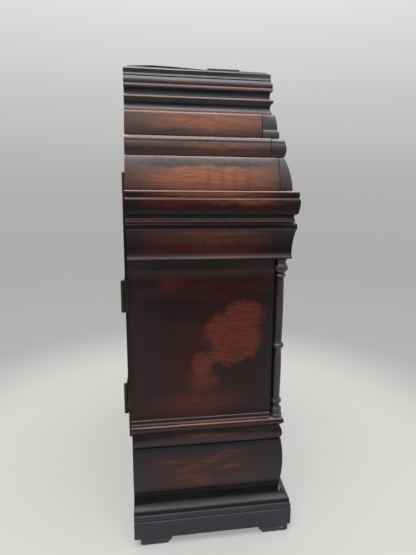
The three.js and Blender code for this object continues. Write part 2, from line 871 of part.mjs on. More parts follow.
// A turn button on the side board. It stands upright here, clear of the door.
function turnCatch() {
  const low = rearDoorFace() + seatGap;
  const bar = slab([
    new THREE.Vector2(catchPivotX - catchWidth / 2, catchRise - catchTail),
    new THREE.Vector2(catchPivotX, catchRise - catchTail - 1.6),
    new THREE.Vector2(catchPivotX + catchWidth / 2, catchRise - catchTail),
    new THREE.Vector2(catchPivotX + catchWidth / 2, catchRise + catchLength - 7),
    new THREE.Vector2(catchPivotX, catchRise + catchLength - 4),
    new THREE.Vector2(catchPivotX - catchWidth / 2, catchRise + catchLength - 7),
  ], -(rearDoorLip + seatGap) - catchThickness, -(rearDoorLip + seatGap));
  const post = rod(catchPivotX, catchRise, catchPostRadius, caseBackY - low - 0.5, 0);
  return join(bar, post);
}

function addRearDoor() {
  piece('rear_door', rearDoor(), darkWood);
  piece('rear_hinge_lower_fixed_leaf', fixedLeaf(hingeLowerRise), agedBrass);
  piece('rear_hinge_lower_door_leaf', movingLeaf(hingeLowerRise), agedBrass);
  piece('rear_hinge_upper_fixed_leaf', fixedLeaf(hingeUpperRise), agedBrass);
  piece('rear_hinge_upper_door_leaf', movingLeaf(hingeUpperRise), agedBrass);
  piece('rear_turn_catch', turnCatch(), agedBrass);
}

// ---- front door
function frontDoorFrame() {
  const low = openingZ + frontDoorGap;
  const high = friezeZ - frontDoorGap;
  const backDepth = bodyFrontDepth + frontDoorGap;
  const frontDepth = backDepth + frontDoorThickness;
  const [axisX, axisY] = frontDoorAxis();
  const inner = frontDoorEdge - frontDoorStile;
  const shape = rectangle(-frontDoorEdge, axisX, low, high);
  const opening = new THREE.Path(rectangle(-inner, inner, low + frontDoorRail, high - frontDoorRail));
  const frame = slab(shape, backDepth, frontDepth, [opening]);
  const rebate = slab(
    rectangle(-inner - 3, inner + 3, low + frontDoorRail - 3, high - frontDoorRail + 3),
    backDepth - 1, backDepth + 3 + frontGlassThickness,
  );
  const edge = upright(axisX, axisY, frontDoorThickness / 2, low, high, 16);
  const pin = upright(
    axisX, axisY, frontDoorPivotRadius,
    openingZ - frontDoorPivotLength + seatGap, friezeZ + frontDoorPivotLength - seatGap,
  );
  return join(cut(frame, rebate), edge, pin);
}

function frontGlass() {
  const low = openingZ + frontDoorGap + frontDoorRail;
  const high = friezeZ - frontDoorGap - frontDoorRail;
  const inner = frontDoorEdge - frontDoorStile;
  const backDepth = bodyFrontDepth + frontDoorGap + 3;
  const over = 3 - seatGap;
  return slab(
    rectangle(-inner - over, inner + over, low - over, high + over),
    backDepth, backDepth + frontGlassThickness,
  );
}

function knob() {
  const faceY = atDepth(bodyFrontDepth + frontDoorGap + frontDoorThickness);
  const r = knobRadius;
  return new THREE.LatheGeometry([
    [0, -1], [r * 0.6, -1], [r, -0.75], [r * 0.8, -0.52], [r * 0.45, -0.35], [r * 0.9, -0.2],
    [r * 0.9, 0], [0, 0],
  ].map(([radius, share]) => new THREE.Vector2(radius, share * knobLength)), 12)
    .translate(-frontDoorEdge + frontDoorStile / 2, faceY, dialRise);
}

function addFrontDoor() {
  piece('front_door_frame', frontDoorFrame(), darkWood);
  piece('front_door_glass', frontGlass(), clearGlass);
  piece('front_door_knob', knob(), agedBrass);
}

// ---------------------------------------------------------------- movement places
const backPlateDepth = frontPlateDepth - plateSpacing;
const backPlateRear = backPlateDepth - plateThickness;
const frontPlateFace = frontPlateDepth + plateThickness;
const pitchRadius = (teeth, module) => (teeth * module) / 2;
const centreAt = [0, dialRise];
const fuseeReach = pitchRadius(greatTeeth + centrePinionLeaves, greatModule);
const fuseeAt = [
  fuseeReach * Math.cos(fuseeAngle * degree),
  dialRise + fuseeReach * Math.sin(fuseeAngle * degree),
];
const thirdReach = pitchRadius(centreTeeth + thirdPinionLeaves, centreModule);
const thirdAngle = 125 * degree;
const thirdAt = [thirdReach * Math.cos(thirdAngle), dialRise + thirdReach * Math.sin(thirdAngle)];
const escapeReach = pitchRadius(thirdTeeth + escapePinionLeaves, thirdModule);
const escapeAt = [0, thirdAt[1] + Math.sqrt(escapeReach ** 2 - thirdAt[0] ** 2)];
const palletHalfAngle = (palletSpan / escapeTeeth) * Math.PI;
const palletAt = [0, escapeAt[1] + escapeRadius / Math.cos(palletHalfAngle)];
const minuteReach = pitchRadius(cannonTeeth + minuteTeeth, motionModule);
const minuteAt = [0, dialRise - minuteReach];
const hourModule = (2 * minuteReach) / (minutePinionLeaves + hourTeeth);
const barrelAt = [barrelX, barrelRise];
const hammerAt = [hammerX, hammerRise];
const greatPlane = frontPlateDepth - 6.5;
const centrePlane = backPlateDepth + 1.5;
const thirdPlane = backPlateDepth + 12.5;
const escapePlane = backPlateDepth + 4.5;
const fuseeBack = centrePlane + wheelThickness + 1.5;
const fuseeFront = greatPlane - 2;
const cannonPlane = frontPlateFace + 0.9;
const hourPlane = frontPlateFace + 3.9;
const maskDepth = frameBackDepth - maskThickness;
const chainDepth = (fuseeBack + fuseeFront) / 2;
const plateLow = seatBoardRise;
const plateHigh = plateLow + plateHeight;

// ---------------------------------------------------------------- gears
// A toothed outline. width gives each tooth's share of the pitch at root, pitch line and tip.
function toothed(at, teeth, module, phase, { addendum, dedendum, width }) {
  const radius = pitchRadius(teeth, module);
  const levels = [radius - dedendum * module, radius, radius + addendum * module];
  const pitch = (2 * Math.PI) / teeth;
  const points = [];
  for (let tooth = 0; tooth < teeth; tooth += 1) {
    const middle = phase + tooth * pitch;
    const corners = [[0, -1], [1, -1], [2, -1], [2, 1], [1, 1], [0, 1]]
      .filter(([level, side]) => width[level] !== null && (side < 0 || (width[level] > 0 && width[level] < 1)));
    for (const [level, side] of corners) {
      const angle = middle + (side * width[level] * pitch) / 2;
      points.push(new THREE.Vector2(
        at[0] + levels[level] * Math.cos(angle), at[1] + levels[level] * Math.sin(angle),
      ));
    }
  }
  return points;
}

const wheelTeeth = { addendum: 0.85, dedendum: 1.25, width: [0.6, null, 0] };
const fineTeeth = { addendum: 0.75, dedendum: 1.25, width: [1, null, 0] };
const pinionLeaves = { addendum: 0.6, dedendum: 1.35, width: [0.36, null, 0.16] };
const motionTeeth = { addendum: 0.75, dedendum: 1.25, width: [0.55, null, 0] };

// The windows between four spokes of a wheel.
function crossings(at, rimRadius) {
  const inner = hubRadius;
  const outer = rimRadius - rimDepth;
  const windows = [];
  for (let quarter = 0; quarter < 4; quarter += 1) {
    const from = (quarter * Math.PI) / 2;
    const points = [];
    for (const [radius, count] of [[outer, 4], [inner, 2]]) {
      const margin = Math.asin(spokeWidth / 2 / radius);
      const arc = [];
      for (let i = 0; i < count; i += 1) {
        const angle = from + margin + ((Math.PI / 2 - 2 * margin) * i) / (count - 1);
        arc.push(new THREE.Vector2(at[0] + radius * Math.cos(angle), at[1] + radius * Math.sin(angle)));
      }
      points.push(...(radius === outer ? arc : arc.reverse()));
    }
    windows.push(new THREE.Path(points));
  }
  return windows;
}

const towards = (from, to) => Math.atan2(to[1] - from[1], to[0] - from[0]);

// The phase that sets a gap of the follower on the line to a tooth of the driver.
function meshPhase(driverAt, driverTeeth, driverPhase, at, teeth) {
  const line = towards(driverAt, at);
  const driverPitch = (2 * Math.PI) / driverTeeth;
  const offset = ((line - driverPhase) / driverPitch) % 1;
  const pitch = (2 * Math.PI) / teeth;
  return line + Math.PI + pitch * (offset + 0.5);
}

function arbor(at, backDepth = backPlateRear, frontDepth = frontPlateFace) {
  return join(
    rod(...at, pivotRadius, backDepth, frontDepth, 8),
    rod(...at, arborRadius, backPlateDepth + runningGap, frontPlateDepth - runningGap, 8),
  );
}

const centrePhase = 0.01;
const centreWheelPhase = 0.02;
const greatPhase = meshPhase(centreAt, centrePinionLeaves, centrePhase, fuseeAt, greatTeeth);
const thirdPinionPhase = meshPhase(centreAt, centreTeeth, centreWheelPhase, thirdAt, thirdPinionLeaves);
const thirdWheelPhase = 0.03;
const escapePinionPhase = meshPhase(thirdAt, thirdTeeth, thirdWheelPhase, escapeAt, escapePinionLeaves);
const cannonPhase = 0;
const minuteWheelPhase = meshPhase(centreAt, cannonTeeth, cannonPhase, minuteAt, minuteTeeth);
const minutePinionPhase = 0;
const hourPhase = meshPhase(minuteAt, minutePinionLeaves, minutePinionPhase, centreAt, hourTeeth);

// ---- great wheel, fusee, barrel and chain
function greatWheel() {
  const rim = pitchRadius(greatTeeth, greatModule) - 1.25 * greatModule;
  const bore = hole(...fuseeAt, fuseeArborRadius + runningGap, 16);
  return slab(
    toothed(fuseeAt, greatTeeth, greatModule, greatPhase, wheelTeeth),
    greatPlane, greatPlane + greatWheelThickness, [...crossings(fuseeAt, rim), bore],
  );
}

// The fusee's hollow curve, so that the chain's pull and its arm multiply to the same turning force.
function fuseeRadius(share) {
  const hyperbola = 1 / (1 / fuseeBigRadius + share * (1 / fuseeSmallRadius - 1 / fuseeBigRadius));
  return hyperbola;
}

function fusee() {
  const length = fuseeFront - fuseeBack;
  const groove = length / (fuseeTurns + 1);
  const profile = [[0, 0], [fuseeBigRadius + 1.5, 0], [fuseeBigRadius + 1.5, groove * 0.35]];
  for (let turn = 0; turn < fuseeTurns; turn += 1) {
    const base = groove * (turn + 0.5);
    const radius = fuseeRadius(turn / (fuseeTurns - 1));
    profile.push([radius, base]);
    profile.push([radius - fuseeGrooveDepth, base + groove / 2]);
  }
  profile.push([fuseeSmallRadius, length - groove * 0.5], [fuseeSmallRadius + 3, length - groove * 0.3]);
  profile.push([fuseeSmallRadius + 3, length], [0, length]);
  const cone = new THREE.LatheGeometry(
    profile.map(([radius, along]) => new THREE.Vector2(radius, along)), 16,
  ).translate(fuseeAt[0], atDepth(fuseeFront), fuseeAt[1]);
  const square = rod(...fuseeAt, fuseeArborRadius, frontPlateFace - 1, maskDepth + 7, 4);
  return join(
    cone,
    rod(...fuseeAt, fuseeArborRadius, fuseeBack + 1, frontPlateFace, 16),
    rod(...fuseeAt, pivotRadius, backPlateRear, fuseeBack + 2, 10),
    square,
  );
}

function barrel() {
  const drum = slab(ring(...barrelAt, barrelRadius, 24), fuseeBack, fuseeFront, [
    hole(...barrelAt, barrelBore, 16),
  ]);
  const lip = (from, to) => slab(ring(...barrelAt, barrelLipRadius, 24), from, to, [
    hole(...barrelAt, barrelBore, 16),
  ]);
  return join(drum, lip(fuseeBack, fuseeBack + 2), lip(fuseeFront - 2, fuseeFront));
}

// The chain's free stretch, with a short lap on the barrel and on the fusee.
function chain() {
  const share = (fuseeFront - chainDepth) / (fuseeFront - fuseeBack);
  const fuseeArm = fuseeRadius(Math.max(0, share)) + runningGap + chainThickness / 2;
  const barrelArm = barrelRadius + runningGap + chainThickness / 2;
  const line = towards(barrelAt, fuseeAt);
  const gap = Math.hypot(fuseeAt[0] - barrelAt[0], fuseeAt[1] - barrelAt[1]);
  const lean = line + Math.acos((barrelArm - fuseeArm) / gap);
  const lap = 60 * degree;
  const points = [];
  const arc = (at, arm, from, to) => {
    for (let i = 0; i <= 6; i += 1) {
      const angle = from + ((to - from) * i) / 6;
      points.push([at[0] + arm * Math.cos(angle), at[1] + arm * Math.sin(angle)]);
    }
  };
  arc(barrelAt, barrelArm, lean + lap, lean);
  arc(fuseeAt, fuseeArm, lean, lean - lap);
  const offset = (side) => points.map(([x, z], i) => {
    const [ax, az] = points[Math.max(0, i - 1)];
    const [bx, bz] = points[Math.min(points.length - 1, i + 1)];
    const length = Math.hypot(bx - ax, bz - az);
    const half = (side * chainThickness) / 2;
    return new THREE.Vector2(x - ((bz - az) / length) * half, z + ((bx - ax) / length) * half);
  });
  const outline = [...offset(-1), ...offset(1).reverse()];
  return slab(outline, chainDepth - chainWidth / 2, chainDepth + chainWidth / 2);
}

// ---- wheels of the train
function wheelWithPinion(at, wheel, pinion) {
  const rim = pitchRadius(wheel.teeth, wheel.module) - 1.25 * wheel.module;
  const body = slab(
    toothed(at, wheel.teeth, wheel.module, wheel.phase, fineTeeth),
    wheel.plane, wheel.plane + wheelThickness, crossings(at, rim),
  );
  const leaves = slab(
    toothed(at, pinion.leaves, pinion.module, pinion.phase, pinionLeaves),
    pinion.from, pinion.to,
  );
  return join(arbor(at, ...(wheel.reach ?? [])), body, leaves);
}

function centreWheel() {
  return wheelWithPinion(centreAt, {
    teeth: centreTeeth, module: centreModule, phase: centreWheelPhase, plane: centrePlane,
    reach: [backPlateRear, maskDepth + 8],
  }, {
    leaves: centrePinionLeaves, module: greatModule, phase: centrePhase,
    from: greatPlane - 1.5, to: greatPlane + greatWheelThickness + 1.5,
  });
}

function thirdWheel() {
  return wheelWithPinion(thirdAt, {
    teeth: thirdTeeth, module: thirdModule, phase: thirdWheelPhase, plane: thirdPlane,
  }, {
    leaves: thirdPinionLeaves, module: centreModule, phase: thirdPinionPhase,
    from: centrePlane - 0.8, to: centrePlane + wheelThickness + 1.5,
  });
}

const escapeTurn = Math.PI / 2 - palletHalfAngle + (2 * Math.PI) / escapeTeeth / 4;

function escapeWheel() {
  const points = [];
  const pitch = (2 * Math.PI) / escapeTeeth;
  const root = escapeRadius - escapeToothDepth;
  for (let tooth = 0; tooth < escapeTeeth; tooth += 1) {
    const angle = escapeTurn + tooth * pitch;
    const corners = [[root, -0.32], [escapeRadius, 0], [root, 0.12]];
    for (const [radius, share] of corners) {
      const at = angle + share * pitch;
      points.push(new THREE.Vector2(escapeAt[0] + radius * Math.cos(at), escapeAt[1] + radius * Math.sin(at)));
    }
  }
  const wheel = slab(points, escapePlane, escapePlane + wheelThickness, crossings(escapeAt, root + 0.8));
  const leaves = slab(
    toothed(escapeAt, escapePinionLeaves, thirdModule, escapePinionPhase, pinionLeaves),
    thirdPlane - 1, thirdPlane + wheelThickness + 1.2,
  );
  return join(arbor(escapeAt), wheel, leaves);
}

// The anchor, its arbor, and the crutch that takes the pendulum rod between two prongs.
function palletArbor() {
  const [x, z] = palletAt;
  const tipRadius = escapeRadius + palletDrop;
  const tip = [
    tipRadius * Math.sin(palletHalfAngle),
    escapeAt[1] + tipRadius * Math.cos(palletHalfAngle) - z,
  ];
  const half = [
    [0, 3.4], [3, 2.6], [tip[0] + 0.9, tip[1] + 3.6], [tip[0] + 0.5, tip[1] + 0.8], tip,
    [tip[0] - 0.9, tip[1] + 1.2], [tip[0] * 0.62, -2.8], [0, -2.2],
  ];
  const outline = [
    ...half,
    ...half.slice(1, -1).reverse().map(([px, pz]) => [-px, pz]),
  ].reverse().map(([px, pz]) => new THREE.Vector2(x + px, z + pz));
  const anchor = slab(outline, escapePlane - 0.25, escapePlane - 0.25 + palletThickness);
  const shaft = rod(x, z, pivotRadius, cockDepth() + 0.2, frontPlateFace, 10);
  const body = rod(x, z, arborRadius, backPlateDepth + 1, frontPlateDepth - runningGap, 10);
  const armBack = cockDepth() + cockThickness + 0.6;
  const arm = box(-1.6, 1.6, atDepth(armBack), atDepth(backPlateRear - 0.6), z - crutchLength, z + 2.4);
  const inner = rodRadius + 0.35;
  const prongs = [-1, 1].map((side) => box(
    side * inner, side * (inner + 1.3), atDepth(pendulumDepth - rodRadius - 1),
    atDepth(backPlateRear - 0.6), z - crutchLength, z - crutchLength + 2.4,
  ));
  return join(anchor, shaft, body, arm, ...prongs);
}

// ---- plates, cock, pendulum
const pendulumDepth = 33;
const cockDepth = () => backPlateRear - 7;

function plateOutline() {
  return rectangle(-plateHalfWidth, plateHalfWidth, plateLow, plateHigh);
}

const pillarPlaces = () => [-1, 1].flatMap((side) => [plateLow, plateHigh].map((z) => [
  side * (plateHalfWidth - pillarInset), z + (z === plateLow ? pillarInset : -pillarInset),
]));

const pivots = () => [centreAt, thirdAt, escapeAt, hammerAt];

// The back plate carries the four pillars, the barrel's arbor and the strap of the bell.
function backPlate() {
  const holes = [
    ...pivots().map((at) => hole(...at, pivotRadius + runningGap)),
    hole(...fuseeAt, pivotRadius + runningGap),
    hole(...palletAt, pivotRadius + 2.5),
  ];
  const plate = slab(plateOutline(), backPlateRear, backPlateDepth, holes);
  const pillars = pillarPlaces().flatMap(([x, z]) => [
    rod(x, z, pillarRadius, backPlateDepth - 0.5, frontPlateDepth, 12),
    rod(x, z, pillarRadius * 0.5, frontPlateDepth - 1, frontPlateFace + 1.2, 8),
  ]);
  const barrelArbor = rod(...barrelAt, barrelBore - runningGap, backPlateDepth - 0.5, frontPlateFace + 1, 16);
  return join(plate, ...pillars, barrelArbor, bellStrap());
}

// A strip that rises behind the bell and bends over it.
function bellStrap() {
  const thick = plateThickness;
  const low = plateHigh - 6;
  const high = bellRise + bellHeight + 1;
  const rear = atDepth(backPlateRear);
  const front = atDepth(backPlateDepth);
  const end = atDepth(bellDepth) - 4;
  const bend = 7;
  const shape = new THREE.Shape([
    new THREE.Vector2(rear, low), new THREE.Vector2(rear, high + thick - bend),
    new THREE.Vector2(rear - bend * 0.3, high + thick - bend * 0.3), new THREE.Vector2(rear - bend, high + thick),
    new THREE.Vector2(end, high + thick), new THREE.Vector2(end, high),
    new THREE.Vector2(front - bend + 1, high), new THREE.Vector2(front, high - bend + 1),
    new THREE.Vector2(front, low),
  ]);
  return new THREE.ExtrudeGeometry(shape, { depth: standWidth, bevelEnabled: false })
    .rotateZ(Math.PI / 2)
    .rotateY(Math.PI / 2)
    .translate(-standWidth / 2, 0, 0);
}

function frontPlate() {
  const holes = [
    ...pivots().map((at) => hole(...at, pivotRadius + runningGap)),
    hole(...palletAt, pivotRadius + runningGap),
    hole(...fuseeAt, fuseeArborRadius + runningGap, 16),
    hole(...barrelAt, barrelBore, 16),
    ...pillarPlaces().map((at) => hole(...at, pillarRadius * 0.5 + 0.1, 8)),
  ];
  const plate = slab(plateOutline(), frontPlateDepth, frontPlateFace, holes);
  const post = rod(...minuteAt, 1.5, frontPlateFace - 0.5, hourPlane + 2.6, 10);
  const feet = [-1, 1].flatMap((side) => [-1, 1].map((up) =>
    rod(side * 45, dialRise + up * 50, 2.2, frontPlateFace - 0.5, maskDepth, 10)));
  return join(plate, post, ...feet);
}

function backCock() {
  const [x, z] = palletAt;
  const bridgeBack = cockDepth();
  const low = z - 4.5;
  const high = z + 5;
  const foot = (side) => box(
    side * (cockHalfWidth - 5), side * cockHalfWidth, atDepth(bridgeBack), atDepth(backPlateRear), low, high,
  );
  const bridge = slab(
    rectangle(-cockHalfWidth, cockHalfWidth, low, high), bridgeBack, bridgeBack + cockThickness,
    [hole(x, z, pivotRadius + runningGap)],
  );
  const stud = box(-3, 3, atDepth(pendulumDepth - 2), atDepth(bridgeBack + 1), z + 3.4, high);
  return join(bridge, foot(-1), foot(1), stud);
}

const bobRise = () => palletAt[1] - pendulumLength;

function pendulumRod() {
  const [x, z] = palletAt;
  const springTop = z + 3.1;
  const springLow = z - 12;
  const y = atDepth(pendulumDepth);
  const bottom = bobRise() - bobRadius - 7;
  const spring = box(-2.5, 2.5, y - 0.3, y + 0.3, springLow, springTop);
  const hook = box(-2.2, 2.2, y - 1.6, y + 1.6, springLow - 6, springLow + 1);
  const shaft = upright(x, y, rodRadius, bottom, springLow - 4, 10);
  const nut = upright(x, y, 3.6, bottom, bobRise() - bobRadius - 1.2, 12);
  return join(spring, hook, shaft, nut);
}

function pendulumBob() {
  const r = bobRadius;
  const t = bobThickness / 2;
  const y = atDepth(pendulumDepth);
  const lens = new THREE.LatheGeometry([
    [0, -t], [r * 0.45, -t * 0.88], [r * 0.8, -t * 0.55], [r, -0.6],
    [r, 0.6], [r * 0.8, t * 0.55], [r * 0.45, t * 0.88], [0, t],
  ].map(([radius, along]) => new THREE.Vector2(radius, along)), 18)
    .translate(0, y, bobRise());
  const sleeve = upright(0, y, rodRadius + 1.2, bobRise() - r - 1.2, bobRise() + r + 1.2, 12);
  const bore = upright(0, y, rodRadius + 0.15, bobRise() - r - 3, bobRise() + r + 3, 12);
  return cut(join(lens, sleeve), bore);
}

// ---- motion work and hands
const cannonTop = () => maskDepth + 9.2;
const handSeat = () => cannonTop() - handThickness - 0.6;
const hourSeat = () => handSeat() - 2.6;
const pipe = { cannonInner: pivotRadius + runningGap, cannonOuter: 2.2, hourInner: 2.55, hourOuter: 3.4 };

function cannonPinion() {
  const gear = slab(
    toothed(centreAt, cannonTeeth, motionModule, cannonPhase, motionTeeth),
    cannonPlane, cannonPlane + wheelThickness,
  );
  const tube = rod(...centreAt, pipe.cannonOuter, frontPlateFace + runningGap, handSeat(), 16);
  const nose = rod(...centreAt, pipe.cannonOuter - 0.3, handSeat() - 1, cannonTop(), 16);
  const bore = rod(...centreAt, pipe.cannonInner, frontPlateFace, cannonTop() + 1, 12);
  return cut(join(gear, tube, nose), bore);
}

function minuteWheel() {
  const wheel = slab(
    toothed(minuteAt, minuteTeeth, motionModule, minuteWheelPhase, motionTeeth),
    cannonPlane, cannonPlane + wheelThickness,
  );
  const leaves = slab(
    toothed(minuteAt, minutePinionLeaves, hourModule, minutePinionPhase, motionTeeth),
    cannonPlane + wheelThickness - 0.3, hourPlane + wheelThickness + 0.6,
  );
  const bore = rod(...minuteAt, 1.5 + runningGap, cannonPlane - 1, hourPlane + 6, 12);
  return cut(join(wheel, leaves), bore);
}

function hourWheel() {
  const gear = slab(
    toothed(centreAt, hourTeeth, hourModule, hourPhase, motionTeeth),
    hourPlane, hourPlane + wheelThickness,
  );
  const tube = rod(...centreAt, pipe.hourOuter, hourPlane, hourSeat(), 16);
  const nose = rod(...centreAt, pipe.hourOuter - 0.35, hourSeat() - 1, hourSeat() + handThickness + 0.5, 16);
  const bore = rod(...centreAt, pipe.hourInner, hourPlane - 1, hourSeat() + 5, 16);
  return cut(join(gear, tube, nose), bore);
}

// A hand drawn pointing up: a round boss, a slender stem and a leaf-shaped blade.
function hand(length, bossRadius, boreRadius, leafHalfWidth, seatDepth, clockAngle) {
  const leafFrom = length * 0.52;
  const stem = 0.8;
  const outline = [
    [stem, bossRadius * 0.8], [stem, leafFrom], [leafHalfWidth, leafFrom + length * 0.12],
    [leafHalfWidth * 0.5, length * 0.78], [0.25, length],
    [-0.25, length], [-leafHalfWidth * 0.5, length * 0.78],
    [-leafHalfWidth, leafFrom + length * 0.12], [-stem, leafFrom], [-stem, bossRadius * 0.8],
  ].map(([x, z]) => new THREE.Vector2(x, z));
  const blade = new THREE.Shape(outline);
  const extrude = { depth: handThickness, bevelEnabled: false };
  const boss = new THREE.Shape(ring(0, 0, bossRadius, 14));
  const bore = new THREE.Shape(ring(0, 0, boreRadius, 14));
  const place = (shape) => new THREE.ExtrudeGeometry(shape, extrude)
    .rotateZ(-clockAngle)
    .rotateX(Math.PI / 2)
    .translate(centreAt[0], atDepth(seatDepth), centreAt[1]);
  return cut(join(place(boss), place(blade)), place(bore));
}

// ---- dial
function addDial() {
  const half = apertureHalfWidth + maskOverlap;
  const maskHoles = [hole(...centreAt, pipeHoleRadius, 16), hole(...fuseeAt, windingHoleRadius, 16)];
  piece('dial_mask', slab(
    rectangle(-half, half, dialRise - apertureHeight / 2 - maskOverlap, dialRise + apertureHeight / 2 + maskOverlap),
    maskDepth, maskDepth + maskThickness, maskHoles,
  ), brass);
  const dialHoles = [hole(...centreAt, pipeHoleRadius, 16), hole(...fuseeAt, windingHoleRadius, 16)];
  piece('dial', slab(
    ring(...centreAt, dialRadius, 48), frameBackDepth, frameBackDepth + dialThickness, dialHoles,
  ), enamel);
}

// ---- bell and hammer
function bell() {
  const wall = bellWall;
  const outer = [];
  const inner = [];
  for (let i = 0; i <= 6; i += 1) {
    const angle = (i / 6) * (Math.PI / 2);
    const flare = i === 0 ? 1 : 0;
    outer.push([bellRadius * Math.cos(angle) + flare, bellHeight * Math.sin(angle)]);
    inner.push([(bellRadius - wall) * Math.cos(angle) + flare, (bellHeight - wall) * Math.sin(angle)]);
  }
  outer[6][0] = 0;
  inner[6][0] = 0;
  const profile = [...inner.reverse(), ...outer];
  const dome = turned(profile, 18).translate(0, atDepth(bellDepth), bellRise);
  const boss = upright(
    0, atDepth(bellDepth), 3, bellRise + bellHeight - wall, bellRise + bellHeight + 1, 12,
  );
  return join(dome, boss);
}

function hammer() {
  const [x, z] = hammerAt;
  const headZ = bellRise + 5;
  const touch = bellRadius + hammerGap;
  const arm = slab([
    new THREE.Vector2(x - 2.2, z), new THREE.Vector2(x + 2.2, z),
    new THREE.Vector2(touch + hammerHeadLength / 2 + 1.1, headZ + 1),
    new THREE.Vector2(touch + hammerHeadLength / 2 - 1.1, headZ + 1),
  ], bellDepth - 1, bellDepth + 1);
  const head = new THREE.CylinderGeometry(hammerHeadRadius, hammerHeadRadius, hammerHeadLength, 14)
    .rotateZ(Math.PI / 2)
    .translate(touch + hammerHeadLength / 2, atDepth(bellDepth), headZ);
  const tail = slab([
    new THREE.Vector2(x - 1.8, z + 1), new THREE.Vector2(x - 16, z - 12),
    new THREE.Vector2(x - 14, z - 13), new THREE.Vector2(x + 1.8, z - 1),
  ], bellDepth + 12, bellDepth + 14);
  return join(arbor(hammerAt), arm, head, tail);
}

function addMovement() {
  piece('seat_board', box(
    -panelInside, panelInside, atDepth(backPlateRear - 1), atDepth(frontPlateFace + 1),
    seatBoardRise - seatBoardThickness, seatBoardRise,
  ), plainWood);
  piece('back_plate', backPlate(), brass);
  piece('front_plate', frontPlate(), brass);
  piece('great_wheel', greatWheel(), brass);
  piece('fusee', fusee(), brass);
  piece('mainspring_barrel', barrel(), brass);
  piece('fusee_chain', chain(), steel);
  piece('centre_wheel', centreWheel(), brass);
  piece('third_wheel', thirdWheel(), brass);
  piece('escape_wheel', escapeWheel(), brass);
  piece('pallet_arbor', palletArbor(), steel);
  piece('back_cock', backCock(), brass);
  piece('pendulum_rod', pendulumRod(), steel);
  piece('pendulum_bob', pendulumBob(), brass);
  piece('cannon_pinion', cannonPinion(), steel);
  piece('minute_wheel', minuteWheel(), brass);
  piece('hour_wheel', hourWheel(), brass);
  piece('hour_hand', hand(
    hourHandLength, 5, pipe.hourOuter - 0.25, 3.4, hourSeat(), hourHandAngle,
  ), blackenedSteel);
  piece('minute_hand', hand(
    minuteHandLength, 4, pipe.cannonOuter - 0.2, 2.6, handSeat(), minuteHandAngle,
  ), blackenedSteel);
  addDial();
  piece('bell', bell(), bellMetal);
  piece('strike_hammer', hammer(), steel);
}

// The hands stand at ten minutes past ten.
const minuteHandAngle = (10 / 60) * 2 * Math.PI;
const hourHandAngle = ((10 + 10 / 60) / 12) * 2 * Math.PI;

addFeet();
addBase();
addBody();
addColumns();
addCornice();
addPediment();
addRearDoor();
addFrontDoor();
addMovement();

export default clock;
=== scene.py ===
"""Dresses a stained wooden bracket clock and sets it in a plain pale studio.

Lengths in the classes are millimetres; Blender's own units are metres.
"""

import logging
import math
from dataclasses import dataclass, replace
from enum import Enum
from typing import Callable, Iterable, Sequence

import bmesh
import bpy
from mathutils import Matrix, Vector


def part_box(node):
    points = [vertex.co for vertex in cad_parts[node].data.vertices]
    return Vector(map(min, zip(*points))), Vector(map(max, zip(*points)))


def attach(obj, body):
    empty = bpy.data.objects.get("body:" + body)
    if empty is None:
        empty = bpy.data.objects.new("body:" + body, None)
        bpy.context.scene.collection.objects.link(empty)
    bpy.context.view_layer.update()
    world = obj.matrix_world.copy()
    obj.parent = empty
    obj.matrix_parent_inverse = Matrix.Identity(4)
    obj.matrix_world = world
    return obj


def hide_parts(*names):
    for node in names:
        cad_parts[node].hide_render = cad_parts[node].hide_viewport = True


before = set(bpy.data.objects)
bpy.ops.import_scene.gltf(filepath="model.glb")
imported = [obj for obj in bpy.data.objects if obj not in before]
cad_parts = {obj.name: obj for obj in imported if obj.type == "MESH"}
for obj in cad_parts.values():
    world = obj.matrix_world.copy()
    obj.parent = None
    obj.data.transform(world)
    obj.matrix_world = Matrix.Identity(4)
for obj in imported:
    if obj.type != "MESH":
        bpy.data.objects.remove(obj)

Point = tuple[float, float, float]
Colour = tuple[float, float, float, float]
# Where a moulding stands: its foot's height, half the width between its inner faces, and the place
# of its front's inner face or of its joint.
Seat = tuple[float, float, float]
Socket = bpy.types.NodeSocket
Node = bpy.types.Node
Tree = bpy.types.NodeTree
Piece = bpy.types.Object
Material = bpy.types.Material
Value = Socket | float | Sequence[float] | None

LOG = logging.getLogger("clock")
MM = 0.001
SLIP = 0.001
# How far apart sides, fronts and boards are cut, so that they can be uneven, and how broad that is.
SIDE_PITCH = 9
FRONT_PITCH = 10
BOARD_PITCH = 12
MOULDING_WEAR = 14
BOARD_WEAR = 20
# Half the size of a mark that covers all of the case, and the place and reach of one on its left.
AROUND = 900.0
LEFT_MIDDLE = -190.0
LEFT_REACH = 150.0
# How the marks on the right differ, and how dark the worn grain is.
RIGHT_CLOSER = 0.7
RIGHT_BACKWARD = 6.0
RUBBED = 0.45


class Run(Enum):
    """Which sides of the case a moulding covers."""

    ALL_ROUND = "both sides and the front"
    FRONT = "the front alone"
    LEFT = "the left side alone"


class Tone(Enum):
    """What a mark does to the wood's colour, painted shade and painted highlights among them."""

    RED = "the thin red stain shows"
    BARE = "the wood is worn bare"
    # Dark marks: gathered polish and dark joints in some places, painted shade in hollows, gaps and under
    # overhangs in others.
    DARK = "polish has gathered"
    # Pale arris lines: partly rubbed wear, partly a painted highlight where an edge catches the overhead
    # light.
    RUBBED_HIGHLIGHT = "an arris is rubbed pale"
    CHIP = "a fresh pale chip"


class Way(Enum):
    """The direction that the grain runs in, as how far a pattern is drawn out on each axis."""

    ACROSS = (0.035, 1.0, 1.0)
    BACKWARD = (1.0, 0.035, 1.0)
    UP = (1.0, 1.0, 0.035)


@dataclass(frozen=True)
class Case:
    """The planes that every moulding's reach is measured from."""

    half_width: float = 119.0
    back: float = 63.85
    depth: float = 127.0

    def at_depth(self, depth: float) -> float:
        """Gives the place of a plane that far in front of the back."""
        return self.back - depth

    def front_at(self, reach: float) -> float:
        """Gives the place of the front for a reach past the reference plane."""
        return self.at_depth(self.depth + reach)


CASE = Case()


